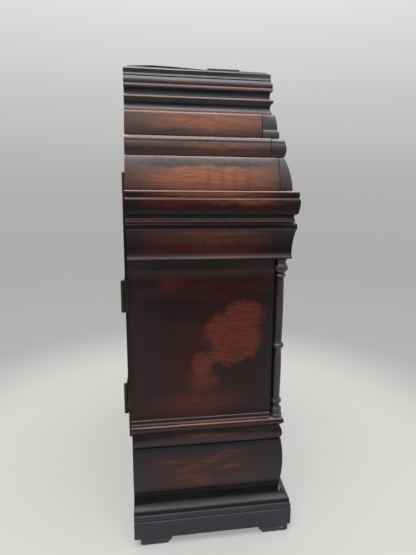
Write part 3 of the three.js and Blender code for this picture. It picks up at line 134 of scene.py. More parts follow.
class Outline:
    """The side view of a moulding: its reach at each height, from its foot up."""

    steps = 10

    def __init__(self, reach: float) -> None:
        """Starts the outline at its foot, by how far that stands past the reference plane."""
        self.points: list[tuple[float, float]] = [(reach, 0.0)]

    def line(self, reach: float, height: float) -> "Outline":
        """Draws a straight line to a reach and height, and gives the outline for the next stroke."""
        self.points.append((reach, height))
        return self

    def bow(self, reach: float, height: float, swell: float) -> "Outline":
        """Draws a curve that swells by a depth at its middle.

        Args:
            reach: reach at its end.
            height: height of its end.
            swell: depth of the curve, negative for a hollow.

        Returns:
            The outline, for the next stroke.
        """
        from_reach, from_height = self.points[-1]
        for step in range(1, self.steps + 1):
            share = step / self.steps
            bulge = 4 * swell * share * (1 - share)
            across = from_reach + (reach - from_reach) * share + bulge
            self.points.append((across, from_height + (height - from_height) * share))
        return self


class Bench:
    """The modelling tools: one mesh is shaped at a time, with its parts picked by place."""

    def __init__(self, obj: Piece) -> None:
        """Puts an object on the bench."""
        self.obj = obj

    @staticmethod
    def clear() -> None:
        """Deselects everything."""
        if bpy.context.object and bpy.context.object.mode != "OBJECT":
            bpy.ops.object.mode_set(mode="OBJECT")
        bpy.ops.object.select_all(action="DESELECT")

    @classmethod
    def take(cls, obj: Piece, name: str) -> "Bench":
        """Names an object and makes it the only selected one.

        Args:
            obj: the object.
            name: its name, which its mesh gets too.

        Returns:
            The bench with the object on it.
        """
        cls.clear()
        obj.name = obj.data.name = name
        obj.select_set(True)
        bpy.context.view_layer.objects.active = obj
        return cls(obj)

    def edit(self) -> None:
        """Opens edit mode with all of the mesh selected."""
        bpy.ops.object.mode_set(mode="EDIT")
        bpy.ops.mesh.select_mode(type="VERT")
        bpy.ops.mesh.select_all(action="SELECT")

    def close(self) -> None:
        """Merges doubles, turns the faces outwards and leaves edit mode."""
        bpy.ops.mesh.select_all(action="SELECT")
        bpy.ops.mesh.remove_doubles(threshold=0.005 * MM)
        bpy.ops.mesh.normals_make_consistent(inside=False)
        bpy.ops.object.mode_set(mode="OBJECT")

    def pick(self, where: Callable[[Vector], bool]) -> None:
        """Selects vertices by place.

        Args:
            where: says of a place, in millimetres, whether it is picked.
        """
        mesh = bmesh.from_edit_mesh(self.obj.data)
        for vertex in mesh.verts:
            vertex.select_set(where(vertex.co / MM))
        mesh.select_flush_mode()
        bmesh.update_edit_mesh(self.obj.data)

    def pick_faces(self, where: Callable[[Vector, Vector], bool]) -> None:
        """Selects faces by place and normal.

        Args:
            where: says of a face's middle, in millimetres, and normal whether it is picked.
        """
        bpy.ops.mesh.select_mode(type="FACE")
        mesh = bmesh.from_edit_mesh(self.obj.data)
        mesh.normal_update()
        for face in mesh.faces:
            face.select_set(where(face.calc_center_median() / MM, face.normal))
        bmesh.update_edit_mesh(self.obj.data)

    def move(self, x: float, y: float, z: float) -> None:
        """Moves what is selected, in millimetres."""
        bpy.ops.transform.translate(value=(x * MM, y * MM, z * MM))

    def raise_up(self, height: float) -> None:
        """Extrudes what is selected upwards."""
        bpy.ops.mesh.extrude_region_move(TRANSFORM_OT_translate={"value": (0, 0, height * MM)})

    def slice(self, axis: int, places: Iterable[float]) -> None:
        """Cuts the whole mesh at planes across an axis.

        Args:
            axis: 0, 1 or 2 for x, y or z.
            places: where the planes stand, in millimetres.
        """
        normal = [0.0, 0.0, 0.0]
        normal[axis] = 1.0
        for place in places:
            bpy.ops.mesh.select_all(action="SELECT")
            bpy.ops.mesh.bisect(plane_co=tuple(n * place * MM for n in normal), plane_no=normal)

    def soften(self, width: float, segments: int = 2, angle: float = 28.0) -> None:
        """Rounds the arrises that are sharper than an angle.

        Args:
            width: width of the rounding.
            segments: faces across it.
            angle: the least angle of an arris, in degrees.
        """
        bevel = self.obj.modifiers.new("Arris", "BEVEL")
        bevel.width = width * MM
        bevel.segments = segments
        bevel.limit_method = "ANGLE"
        bevel.angle_limit = math.radians(angle)
        bpy.ops.object.modifier_apply(modifier=bevel.name)

    def waver(self, depth: float, size: float) -> None:
        """Wears the surface in a little, unevenly, and never outwards.

        Args:
            depth: the deepest wear.
            size: how broad the unevenness is.
        """
        cloud = bpy.data.textures.new(f"{self.obj.name}_wear", "CLOUDS")
        cloud.noise_scale = size * MM
        displace = self.obj.modifiers.new("Wear", "DISPLACE")
        displace.texture = cloud
        displace.texture_coords = "LOCAL"
        displace.mid_level = 1.0
        displace.strength = depth * MM
        bpy.ops.object.modifier_apply(modifier=displace.name)

    def smooth(self, angle: float = 38.0) -> Piece:
        """Shades the mesh smooth below an angle and applies the object's place.

        Args:
            angle: the angle, in degrees.

        Returns:
            The finished object.
        """
        bpy.ops.object.transform_apply(location=True, rotation=True, scale=True)
        bpy.ops.object.shade_smooth_by_angle(angle=math.radians(angle))
        self.obj.select_set(False)
        return self.obj


def moulding(
    name: str, outline: Outline, run: Run, seat: Seat,
    arris: float = 0.4, wear: float = 0.35, front_outline: Outline | None = None,
) -> Piece:
    """Models a moulding by raising its plan level by level and moving its outer faces.

    Args:
        name: name of the piece.
        outline: its side view.
        run: the sides that it covers.
        seat: where it stands.
        arris: rounding of its arrises.
        wear: depth of its unevenness.
        front_outline: side view of its front, at the same heights, where it differs.

    Returns:
        The piece.
    """
    foot, inside, front_inside = seat
    faces = (front_outline or outline).points
    reach, front_reach = outline.points[0][0], faces[0][0]
    outer, front = CASE.half_width + reach, CASE.front_at(front_reach)
    left, right = -outer, (-inside if run is Run.LEFT else outer)
    near = front_inside if run is Run.LEFT else front
    far = front_inside if run is Run.FRONT else CASE.back
    Bench.clear()
    bpy.ops.mesh.primitive_plane_add(
        size=MM, location=((left + right) / 2 * MM, (near + far) / 2 * MM, foot * MM)
    )
    bench = Bench.take(bpy.context.object, name)
    bpy.ops.transform.resize(value=(right - left, far - near, 1))
    bpy.ops.object.transform_apply(location=True, rotation=True, scale=True)
    bench.edit()
    if run is not Run.FRONT:
        bench.slice(1, [CASE.back - SIDE_PITCH * step for step in range(1, 12)])
    if run is not Run.LEFT:
        bench.slice(0, [FRONT_PITCH * step for step in range(-9, 10)])
    if run is Run.ALL_ROUND:
        bench.slice(0, [-inside, inside])
        bench.slice(1, [front_inside])
        bench.pick_faces(lambda at, _: abs(at.x) < inside and at.y > front_inside)
        bpy.ops.mesh.delete(type="FACE")
        bpy.ops.mesh.select_mode(type="VERT")
    bpy.ops.mesh.select_all(action="SELECT")
    level = 0.0
    for (next_reach, height), (next_front, _) in zip(outline.points[1:], faces[1:]):
        bench.raise_up(height - level)
        side, face = CASE.half_width + reach - SLIP, CASE.front_at(front_reach) + SLIP
        step, level, reach = next_reach - reach, height, next_reach
        front_step, front_reach = next_front - front_reach, next_front
        top = foot + level - SLIP
        shifts = [(lambda at, side=side: at.x < -side, (-step, 0, 0))]
        if run is not Run.LEFT:
            shifts.append((lambda at, side=side: at.x > side, (step, 0, 0)))
            shifts.append((lambda at, face=face: at.y < face, (0, -front_step, 0)))
        for on_face, shift in shifts:
            bench.pick(lambda at: at.z > top and on_face(at))
            bench.move(*shift)
        bench.pick(lambda at: at.z > top)
    bench.close()
    bench.soften(arris)
    bench.waver(wear, MOULDING_WEAR)
    return bench.smooth()


def turned(
    name: str, profile: Sequence[tuple[float, float]], place: Point,
    count: int = 40, forwards: bool = False, hollow: bool = False,
) -> Piece:
    """Turns a piece as on a lathe: a ring is raised and resized along a profile.

    Args:
        name: name of the piece.
        profile: radius and height of each ring, from the foot.
        place: middle of the foot.
        count: sides of a ring.
        forwards: whether its axis points to the front and not up.
        hollow: whether the last ring is joined to the first, and not closed.

    Returns:
        The piece.
    """
    Bench.clear()
    radius, level = profile[0]
    fill = "NOTHING" if hollow else "NGON"
    bpy.ops.mesh.primitive_circle_add(
        vertices=count, radius=radius * MM, fill_type=fill, location=(0, 0, level * MM)
    )
    bench = Bench.take(bpy.context.object, name)
    bpy.ops.object.transform_apply(location=True, rotation=True, scale=True)
    bench.edit()
    for next_radius, height in profile[1:]:
        bench.raise_up(height - level)
        scale = next_radius / radius
        bpy.ops.transform.resize(value=(scale, scale, 1), center_override=(0, 0, height * MM))
        radius, level = next_radius, height
    if hollow:
        ends = (profile[0], (radius, level))
        bench.pick(
            lambda at: any(abs(math.hypot(at.x, at.y) - r) + abs(at.z - h) < 20 * SLIP for r, h in ends)
        )
        bpy.ops.mesh.select_mode(type="EDGE")
        bpy.ops.mesh.bridge_edge_loops()
        bpy.ops.mesh.select_mode(type="VERT")
    bench.close()
    if forwards:
        bench.obj.rotation_euler = (math.pi / 2, 0, 0)
    bench.obj.location = Vector(place) * MM
    return bench.smooth(50)


def softened(node: str, arris: float, wear: float = 0.2) -> Piece:
    """Copies a board from the frame, cuts it along its length, rounds its arrises and wears it.

    Args:
        node: name of the board in the frame, which the copy replaces.
        arris: rounding of the arrises.
        wear: depth of the unevenness.

    Returns:
        The piece.
    """
    Bench.clear()
    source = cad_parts[node]
    copy = source.copy()
    copy.data = source.data.copy()
    for key in list(copy.keys()):
        del copy[key]
    copy.parent = None
    bpy.context.scene.collection.objects.link(copy)
    bench = Bench.take(copy, f"{node}_board")
    bench.edit()
    bpy.ops.mesh.remove_doubles(threshold=0.01 * MM)
    bpy.ops.mesh.dissolve_limited(angle_limit=math.radians(1))
    low, high = (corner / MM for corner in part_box(node))
    axis = max(range(3), key=lambda at: high[at] - low[at])
    cuts = range(1, int((high[axis] - low[axis]) / BOARD_PITCH))
    bench.slice(axis, [low[axis] + BOARD_PITCH * step for step in cuts])
    bench.close()
    bench.soften(arris)
    bench.waver(wear, BOARD_WEAR)
    piece = bench.smooth()
    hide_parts(node)
    return piece


def mirrored(piece: Piece, name: str, axes: str = "X") -> Piece:
    """Copies a piece and mirrors the copy through the middle of the case.

    Args:
        piece: the piece to copy.
        name: name of the copy.
        axes: the axes that it is mirrored on.

    Returns:
        The copy, with its own mesh.
    """
    Bench.clear()
    copy = piece.copy()
    copy.data = piece.data.copy()
    bpy.context.scene.collection.objects.link(copy)
    bench = Bench.take(copy, name)
    for axis in axes:
        copy.data.transform(Matrix.Scale(-1, 4, Vector([axis == a for a in "XYZ"])))
    bench.edit()
    bench.close()
    copy.select_set(False)
    return copy


def dress(
    piece: Piece, material: Material, node: str = "", body: str = "case"
) -> None:
    """Gives a piece its material, parents it to the body that it rides on and hides the frame's node that it
    stands for.

    Args:
        piece: the piece.
        material: its material.
        node: the frame's node that it stands for, if there is one.
        body: the body that it moves with.
    """
    Palette.put(material, piece)
    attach(piece, body)
    if node:
        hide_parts(node)
    LOG.info("%s: %d faces, rides on %s", piece.name, len(piece.data.polygons), body)


class Sheet:
    """Lays out and joins the nodes of one node tree."""

    def __init__(self, tree: Tree) -> None:
        """Starts on a node tree."""
        self.tree = tree

    def node(self, kind: str, **settings: object) -> Node:
        """Adds a node.

        Args:
            kind: its type, without the ShaderNode in front.
            settings: its properties.

        Returns:
            The node.
        """
        made = self.tree.nodes.new(f"ShaderNode{kind}")
        for key, value in settings.items():
            setattr(made, key, value)
        return made

    def feed(self, socket: Socket, value: Value) -> None:
        """Joins a socket to another, or sets its value.

        Args:
            socket: the input.
            value: an output, a number or a list; None leaves it as it is.
        """
        if isinstance(value, Socket):
            self.tree.links.new(value, socket)
        elif value is not None:
            socket.default_value = value

    def math(self, operation: str, first: Value, second: Value = None, held: bool = True) -> Socket:
        """Works on two numbers, and holds the result between 0 and 1 if told to."""
        made = self.node("Math", operation=operation, use_clamp=held)
        self.feed(made.inputs[0], first)
        self.feed(made.inputs[1], second)
        return made.outputs[0]

    def vector(self, operation: str, first: Value, second: Value = None) -> Node:
        """Works on two vectors, and gives the node with the vector and the value."""
        made = self.node("VectorMath", operation=operation)
        self.feed(made.inputs[0], first)
        self.feed(made.inputs[1], second)
        return made

    def mix(self, share: Value, first: Value, second: Value) -> Socket:
        """Mixes a share of the second colour into the first."""
        made = self.node("Mix", data_type="RGBA")
        self.feed(made.inputs[0], share)
        self.feed(made.inputs[6], first)
        self.feed(made.inputs[7], second)
        return made.outputs[2]

    def spread(self, value: Value, low: Value, high: Value, least: Value = 0.0, most: Value = 1.0) -> Socket:
        """Stretches a range of values over another, smoothly.

        Args:
            value: the value.
            low: where the range starts.
            high: where it ends.
            least: what its start becomes.
            most: what its end becomes.

        Returns:
            The stretched value.
        """
        made = self.node("MapRange", interpolation_type="SMOOTHSTEP")
        for place, given in enumerate((value, low, high, least, most)):
            self.feed(made.inputs[place], given)
        return made.outputs[0]

    def noise(self, vector: Value, scale: Value, detail: float = 3.0, rough: float = 0.55) -> Node:
        """Adds noise.

        Args:
            vector: where it is read.
            scale: how fine it is, in lumps a metre.
            detail: how many finer layers it has.
            rough: how strong these are.

        Returns:
            The node, whose outputs are a value and a colour.
        """
        made = self.node("TexNoise")
        self.feed(made.inputs["Vector"], vector)
        self.feed(made.inputs["Scale"], scale)
        made.inputs["Detail"].default_value = detail
        made.inputs["Roughness"].default_value = rough
        return made

    def group(self, tree: Tree, **values: Value) -> Node:
        """Places a node group and feeds its inputs by name."""
        made = self.node("Group")
        made.node_tree = tree
        for key, value in values.items():
            self.feed(made.inputs[key], value)
        return made


class Effects:
    """The effects that several finishes share, each made once as a node group."""

    sway_scale = 22.0
    sway = 0.012
    rag_scale = 95.0
    speck_scale = 900.0

    def __init__(self) -> None:
        """Makes the groups."""
        self.grain = self._grain()
        self.patch = self._patch()
        self.mottle = self._mottle()

    @staticmethod
    def _start(name: str, takes: dict[str, str], gives: dict[str, str]) -> tuple[Tree, Sheet, Node, Node]:
        """Starts a group.

        Args:
            name: its name.
            takes: its inputs' names and socket types.
            gives: its outputs' names and socket types.

        Returns:
            The tree, its sheet, and the nodes that hold its inputs and outputs.
        """
        tree = bpy.data.node_groups.new(name, "ShaderNodeTree")
        for direction, sockets in (("INPUT", takes), ("OUTPUT", gives)):
            for key, kind in sockets.items():
                tree.interface.new_socket(key, in_out=direction, socket_type=f"NodeSocket{kind}")
        sheet = Sheet(tree)
        return tree, sheet, tree.nodes.new("NodeGroupInput"), tree.nodes.new("NodeGroupOutput")

    def _grain(self) -> Tree:
        """Makes streaks and pores that are drawn out along the grain."""
        tree, sheet, taken, given = self._start(
            "wood_grain",
            {"Vector": "Vector", "Stretch": "Vector", "Fineness": "Float"},
            {"Streak": "Float", "Pore": "Float"},
        )
        sway = sheet.noise(taken.outputs["Vector"], self.sway_scale, 1.0)
        lean = sheet.vector("SCALE", sway.outputs["Color"])
        lean.inputs["Scale"].default_value = self.sway
        bent = sheet.vector("ADD", taken.outputs["Vector"], lean.outputs[0])
        drawn = sheet.vector("MULTIPLY", bent.outputs[0], taken.outputs["Stretch"])
        broad = sheet.noise(drawn.outputs[0], taken.outputs["Fineness"], 5.0, 0.65)
        finer = sheet.math("MULTIPLY", taken.outputs["Fineness"], 4.0, held=False)
        pores = sheet.noise(drawn.outputs[0], finer, 2.0, 0.5)
        sheet.feed(given.inputs["Streak"], sheet.spread(broad.outputs[0], 0.34, 0.66))
        sheet.feed(given.inputs["Pore"], sheet.spread(pores.outputs[0], 0.56, 0.7))
        return tree

    def _patch(self) -> Tree:
        """Makes one ragged patch round a place."""
        tree, sheet, taken, given = self._start(
            "ragged_patch",
            {"Vector": "Vector", "Centre": "Vector", "Half": "Vector", "Ragged": "Float", "Soft": "Float"},
            {"Mask": "Float"},
        )
        rag = sheet.noise(taken.outputs["Vector"], self.rag_scale, 5.0, 0.62)
        level = sheet.vector("SUBTRACT", rag.outputs["Color"], (0.5, 0.5, 0.5))
        torn = sheet.vector("SCALE", level.outputs[0])
        sheet.feed(torn.inputs["Scale"], taken.outputs["Ragged"])
        moved = sheet.vector("ADD", taken.outputs["Vector"], torn.outputs[0])
        away = sheet.vector("SUBTRACT", moved.outputs[0], taken.outputs["Centre"])
        measured = sheet.vector("DIVIDE", away.outputs[0], taken.outputs["Half"])
        length = sheet.vector("LENGTH", measured.outputs[0])
        outer = sheet.math("ADD", taken.outputs["Soft"], 1.0, held=False)
        inner = sheet.math("SUBTRACT", 1.0, taken.outputs["Soft"], held=False)
        sheet.feed(given.inputs["Mask"], sheet.spread(length.outputs["Value"], outer, inner))
        return tree

    def _mottle(self) -> Tree:
        """Makes broad clouds, where polish has thinned or metal has dulled."""
        tree, sheet, taken, given = self._start(
            "thinned_polish",
            {"Vector": "Vector", "Stretch": "Vector", "Scale": "Float"},
            {"Cloud": "Float", "Speck": "Float"},
        )
        half = sheet.vector("POWER", taken.outputs["Stretch"], (0.4, 0.4, 0.4))
        drawn = sheet.vector("MULTIPLY", taken.outputs["Vector"], half.outputs[0])
        cloud = sheet.noise(drawn.outputs[0], taken.outputs["Scale"], 4.0, 0.6)
        speck = sheet.noise(taken.outputs["Vector"], self.speck_scale, 2.0, 0.6)
        sheet.feed(given.inputs["Cloud"], sheet.spread(cloud.outputs[0], 0.4, 0.62))
        sheet.feed(given.inputs["Speck"], sheet.spread(speck.outputs[0], 0.6, 0.72))
        return tree


@dataclass(frozen=True)
class Mark:
    """One place where the wood differs, as a ragged oval block."""

    tone: Tone
    centre: Point
    half: Point
    ragged: float = 9.0
    soft: float = 0.3
    strength: float = 1.0

    def mask(self, sheet: Sheet, effects: Effects, where: Value) -> Socket:
        """Adds the mark's mask to a material.

        Args:
            sheet: the material's sheet.
            effects: the shared effects.
            where: the place on the piece.

        Returns:
            The mask.
        """
        patch = sheet.group(
            effects.patch,
            Vector=where,
            Centre=Vector(self.centre) * MM,
            Half=Vector(self.half) * MM,
            Ragged=self.ragged * MM,
            Soft=self.soft,
        )
        return sheet.math("MULTIPLY", patch.outputs[0], self.strength)


def begin(name: str) -> tuple[Material, Sheet, Node, Socket]:
    """Starts a material.

    Args:
        name: its name.

    Returns:
        The material, its sheet, its surface shader and the place on the piece.
    """
    material = bpy.data.materials.new(name)
    material.use_nodes = True
    sheet = Sheet(material.node_tree)
    where = sheet.node("TexCoord").outputs["Object"]
    return material, sheet, material.node_tree.nodes["Principled BSDF"], where


def roughen(sheet: Sheet, shader: Node, height: Value, strength: float, depth: float) -> None:
    """Gives a surface its fine relief.

    Args:
        sheet: the material's sheet.
        shader: its surface shader.
        height: the relief's height.
        strength: how strong it is.
        depth: how deep it is, in millimetres.
    """
    bump = sheet.node("Bump")
    bump.inputs["Strength"].default_value = strength
    bump.inputs["Distance"].default_value = depth * MM
    sheet.feed(bump.inputs["Height"], height)
    sheet.feed(shader.inputs["Normal"], bump.outputs[0])


@dataclass(frozen=True)
class WoodFinish:
    """Hardwood under a thin red and a thick black stain, polished and worn through."""

    stain: Colour = (0.030, 0.014, 0.018, 1)
    red: Colour = (0.12, 0.017, 0.014, 1)
    bare: Colour = (0.36, 0.098, 0.045, 1)
    # The dark colour serves the dark marks, and so also the painted shade in hollows, gaps and under
    # overhangs.
    dark: Colour = (0.011, 0.010, 0.012, 1)
    # The pale colour is that of the painted arris highlights, which are partly rubbed wear.
    pale: Colour = (0.40, 0.235, 0.19, 1)
    chip: Colour = (0.42, 0.25, 0.11, 1)
    gloss: float = 0.34
    thin: float = 0.5
    rough: float = 0.3
    lines: float = 0.4
    fineness: float = 900.0
    cloud: float = 42.0
    way: Way = Way.BACKWARD

    def material(self, name: str, effects: Effects, marks: Sequence[Mark] = ()) -> Material:
        """Makes the finish's material.

        Args:
            name: its name.
            effects: the shared effects.
            marks: where the wood differs.

        Returns:
            The material.
        """
        material, sheet, shader, where = begin(name)
        grain = sheet.group(effects.grain, Vector=where, Stretch=self.way.value, Fineness=self.fineness)
        polish = sheet.group(effects.mottle, Vector=where, Stretch=self.way.value, Scale=self.cloud)
        streak, pore, cloud = grain.outputs[0], grain.outputs[1], polish.outputs[0]
        masks: dict[Tone, Socket] = {}
        for mark in marks:
            mask = mark.mask(sheet, effects, where)
            other = masks.get(mark.tone)
            masks[mark.tone] = sheet.math("MAXIMUM", mask, other) if other else mask
        darker = (*(RUBBED * part for part in self.bare[:3]), 1)
        colour = sheet.mix(sheet.math("MULTIPLY", cloud, self.thin), self.stain, self.red)
        if Tone.RED in masks:
            thinned = sheet.math("MULTIPLY", masks[Tone.RED], sheet.spread(cloud, 0, 1, 0.55, 1.0))
            colour = sheet.mix(thinned, colour, self.red)
        if Tone.BARE in masks:
            worn = sheet.mix(sheet.spread(streak, 0, 1, 0.0, 1.5 * self.lines), self.bare, darker)
            colour = sheet.mix(masks[Tone.BARE], colour, worn)
        line = sheet.math("MAXIMUM", pore, sheet.spread(streak, 0.5, 1, 0, 0.6))
        colour = sheet.mix(sheet.math("MULTIPLY", line, self.lines), colour, self.stain)
        for tone, shade in ((Tone.DARK, self.dark), (Tone.RUBBED_HIGHLIGHT, self.pale), (Tone.CHIP, self.chip)):
            if tone in masks:
                colour = sheet.mix(masks[tone], colour, shade)
        sheet.feed(shader.inputs["Base Color"], colour)
        roughness = sheet.spread(cloud, 0, 1, self.rough - 0.04, self.rough + 0.1)
        sheet.feed(shader.inputs["Roughness"], roughness)
        shader.inputs["Specular IOR Level"].default_value = self.gloss
        roughen(sheet, shader, streak, 0.12, 0.2)
        return material


@dataclass(frozen=True)
class MetalFinish:
    """A metal with its tarnish."""

    colour: Colour
    dull: Colour
    rough: float = 0.32
    dulled: float = 0.6
    metallic: float = 1.0

    def material(self, name: str, effects: Effects) -> Material:
        """Makes the finish's material.

        Args:
            name: its name.
            effects: the shared effects.

        Returns:
            The material.
        """
        material, sheet, shader, where = begin(name)
        tarnish = sheet.group(effects.mottle, Vector=where, Stretch=(1.0, 1.0, 1.0), Scale=120.0)
        cloud, speck = tarnish.outputs
        colour = sheet.mix(sheet.math("MULTIPLY", cloud, self.dulled), self.colour, self.dull)
        colour = sheet.mix(sheet.math("MULTIPLY", speck, 0.4), colour, self.dull)
        sheet.feed(shader.inputs["Base Color"], colour)
        shader.inputs["Metallic"].default_value = self.metallic
        sheet.feed(shader.inputs["Roughness"], sheet.spread(cloud, 0, 1, self.rough, self.rough + 0.18))
        roughen(sheet, shader, cloud, 0.15, 0.1)
        return material


@dataclass(frozen=True)
class EnamelFinish:
    """Fired enamel that has yellowed a little."""

    colour: Colour = (0.78, 0.74, 0.62, 1)
    aged: Colour = (0.66, 0.58, 0.42, 1)
    rough: float = 0.2

    def material(self, name: str, effects: Effects) -> Material:
        """Makes the finish's material.

        Args:
            name: its name.
            effects: the shared effects.

        Returns:
            The material.
        """
        material, sheet, shader, where = begin(name)
        age = sheet.group(effects.mottle, Vector=where, Stretch=(1.0, 1.0, 1.0), Scale=30.0)
        cloud = age.outputs["Cloud"]
        colour = sheet.mix(sheet.math("MULTIPLY", cloud, 0.6), self.colour, self.aged)
        sheet.feed(shader.inputs["Base Color"], colour)
        sheet.feed(shader.inputs["Roughness"], sheet.spread(cloud, 0, 1, self.rough, self.rough + 0.1))
        roughen(sheet, shader, cloud, 0.05, 0.1)
        return material


@dataclass(frozen=True)
class GlassFinish:
    """Old thin window glass, faintly smeared."""

    tint: Colour = (0.93, 0.97, 0.95, 1)
    rough: float = 0.03

    def material(self, name: str, effects: Effects) -> Material:
        """Makes the finish's material.

        Args:
            name: its name.
            effects: the shared effects.

        Returns:
            The material.
        """
        material, sheet, shader, where = begin(name)
        smear = sheet.group(effects.mottle, Vector=where, Stretch=(1.0, 1.0, 1.0), Scale=25.0)
        cloud = smear.outputs["Cloud"]
        sheet.feed(shader.inputs["Roughness"], sheet.spread(cloud, 0, 1, self.rough, self.rough + 0.05))
        roughen(sheet, shader, cloud, 0.03, 0.2)
        shader.inputs["Base Color"].default_value = self.tint
        shader.inputs["Transmission Weight"].default_value = 1.0
        shader.inputs["IOR"].default_value = 1.46
        return material


class Palette:
    """The finishes of the clock, each made once."""

    def __init__(self) -> None:
        """Makes the shared effects and the plain finishes."""
        self.effects = Effects()
        brass = MetalFinish((0.62, 0.42, 0.15, 1), (0.24, 0.14, 0.05, 1))
        aged = MetalFinish((0.075, 0.06, 0.05, 1), (0.02, 0.018, 0.017, 1), rough=0.45, metallic=0.7)
        bell_metal = MetalFinish((0.66, 0.5, 0.26, 1), (0.36, 0.24, 0.1, 1), rough=0.22)
        steel = MetalFinish((0.42, 0.43, 0.45, 1), (0.16, 0.14, 0.13, 1))
        black = MetalFinish((0.02, 0.022, 0.03, 1), (0.03, 0.02, 0.015, 1), rough=0.28, metallic=0.6)
        self.brass = brass.material("brass", self.effects)
        self.aged_brass = aged.material("aged_brass", self.effects)
        self.bell_metal = bell_metal.material("bell_metal", self.effects)
        self.steel = steel.material("steel", self.effects)
        self.black_steel = black.material("blackened_steel", self.effects)
        self.enamel = EnamelFinish().material("dial_enamel", self.effects)
        self.glass = GlassFinish().material("clear_glass", self.effects)
        self.across = self.wood("dark_wood_across", way=Way.ACROSS, thin=0.35)
        self.plain = self.wood(
            "plain_wood", stain=(0.12, 0.06, 0.03, 1), red=(0.2, 0.1, 0.05, 1), thin=0.7, rough=0.55,
            way=Way.ACROSS,
        )

    def wood(self, name: str, marks: Sequence[Mark] = (), **changes: object) -> Material:
        """Makes a wood for one piece.

        Args:
            name: name of the material.
            marks: where the wood differs.
            changes: the finish's values that differ from the usual.

        Returns:
            The material.
        """
        return WoodFinish(**changes).material(name, self.effects, marks)

    @staticmethod
    def put(material: Material, *pieces: Piece) -> None:
        """Gives a material to pieces, new ones or nodes of the frame."""
        for piece in pieces:
            if not piece.data.materials:
                piece.data.materials.append(material)
            for slot in piece.material_slots:
                slot.material = material

    def put_node(self, material: Material, *nodes: str) -> None:
        """Gives nodes of the frame a material, by name."""
        self.put(material, *(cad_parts[node] for node in nodes))


def left_side(tone: Tone, *places: Sequence[float]) -> list[Mark]:
    """Marks places on the left side of the case alone.

    Args:
        tone: what the marks do.
        places: of each mark, its middle y and z, half its length and half its height, and then
            how ragged, soft and strong it is, where that isn't as usual.

    Returns:
        The marks.
    """
    return [
        Mark(tone, (LEFT_MIDDLE, y, z), (LEFT_REACH, half_y, half_z), *more)
        for y, z, half_y, half_z, *more in places
    ]


def both_sides(tone: Tone, *places: Sequence[float]) -> list[Mark]:
    """Marks places on both sides of the case, given as for left_side."""
    return [
        Mark(tone, (0, y, z), (AROUND, half_y, half_z), *more) for y, z, half_y, half_z, *more in places
    ]


def bands(tone: Tone, *levels: Sequence[float]) -> list[Mark]:
    """Marks bands that run round the case.

    Args:
        tone: what the marks do.
        levels: of each band, its height and half its width, and then how ragged, soft and strong
            it is, where that isn't as usual.

    Returns:
        The marks.
    """
    return [Mark(tone, (0, 0, z), (AROUND, AROUND, half_z), *more) for z, half_z, *more in levels]


def arris(z: float, half_z: float = 0.5, tone: Tone = Tone.RUBBED_HIGHLIGHT, strength: float = 0.8) -> Mark:
    """Marks an edge that runs round the case at a height, half_z to either side; in its usual pale tone, a
    painted highlight that is partly rubbed wear.
    """
    return Mark(tone, (0, 0, z), (AROUND, AROUND, half_z), ragged=0.9, soft=0.5, strength=strength)


def dark_ends(z: float, strength: float = 0.85) -> list[Mark]:
    """Marks both ends of a side piece at a middle height, where it is darker."""
    return both_sides(Tone.DARK, (66, z, 15, 60, 8, 0.6, strength), (-66, z, 22, 60, 8, 0.5, strength))


def shifted(marks: Sequence[Mark]) -> list[Mark]:
    """Gives the marks of a left piece for its twin on the right, a little nearer together.

    Args:
        marks: the marks of the left piece.

    Returns:
        The marks of the right piece.
    """
    return [
        replace(
            mark,
            centre=(0, mark.centre[1] * RIGHT_CLOSER + RIGHT_BACKWARD, mark.centre[2]),
            half=(AROUND, *mark.half[1:]),
        )
        for mark in marks
    ]


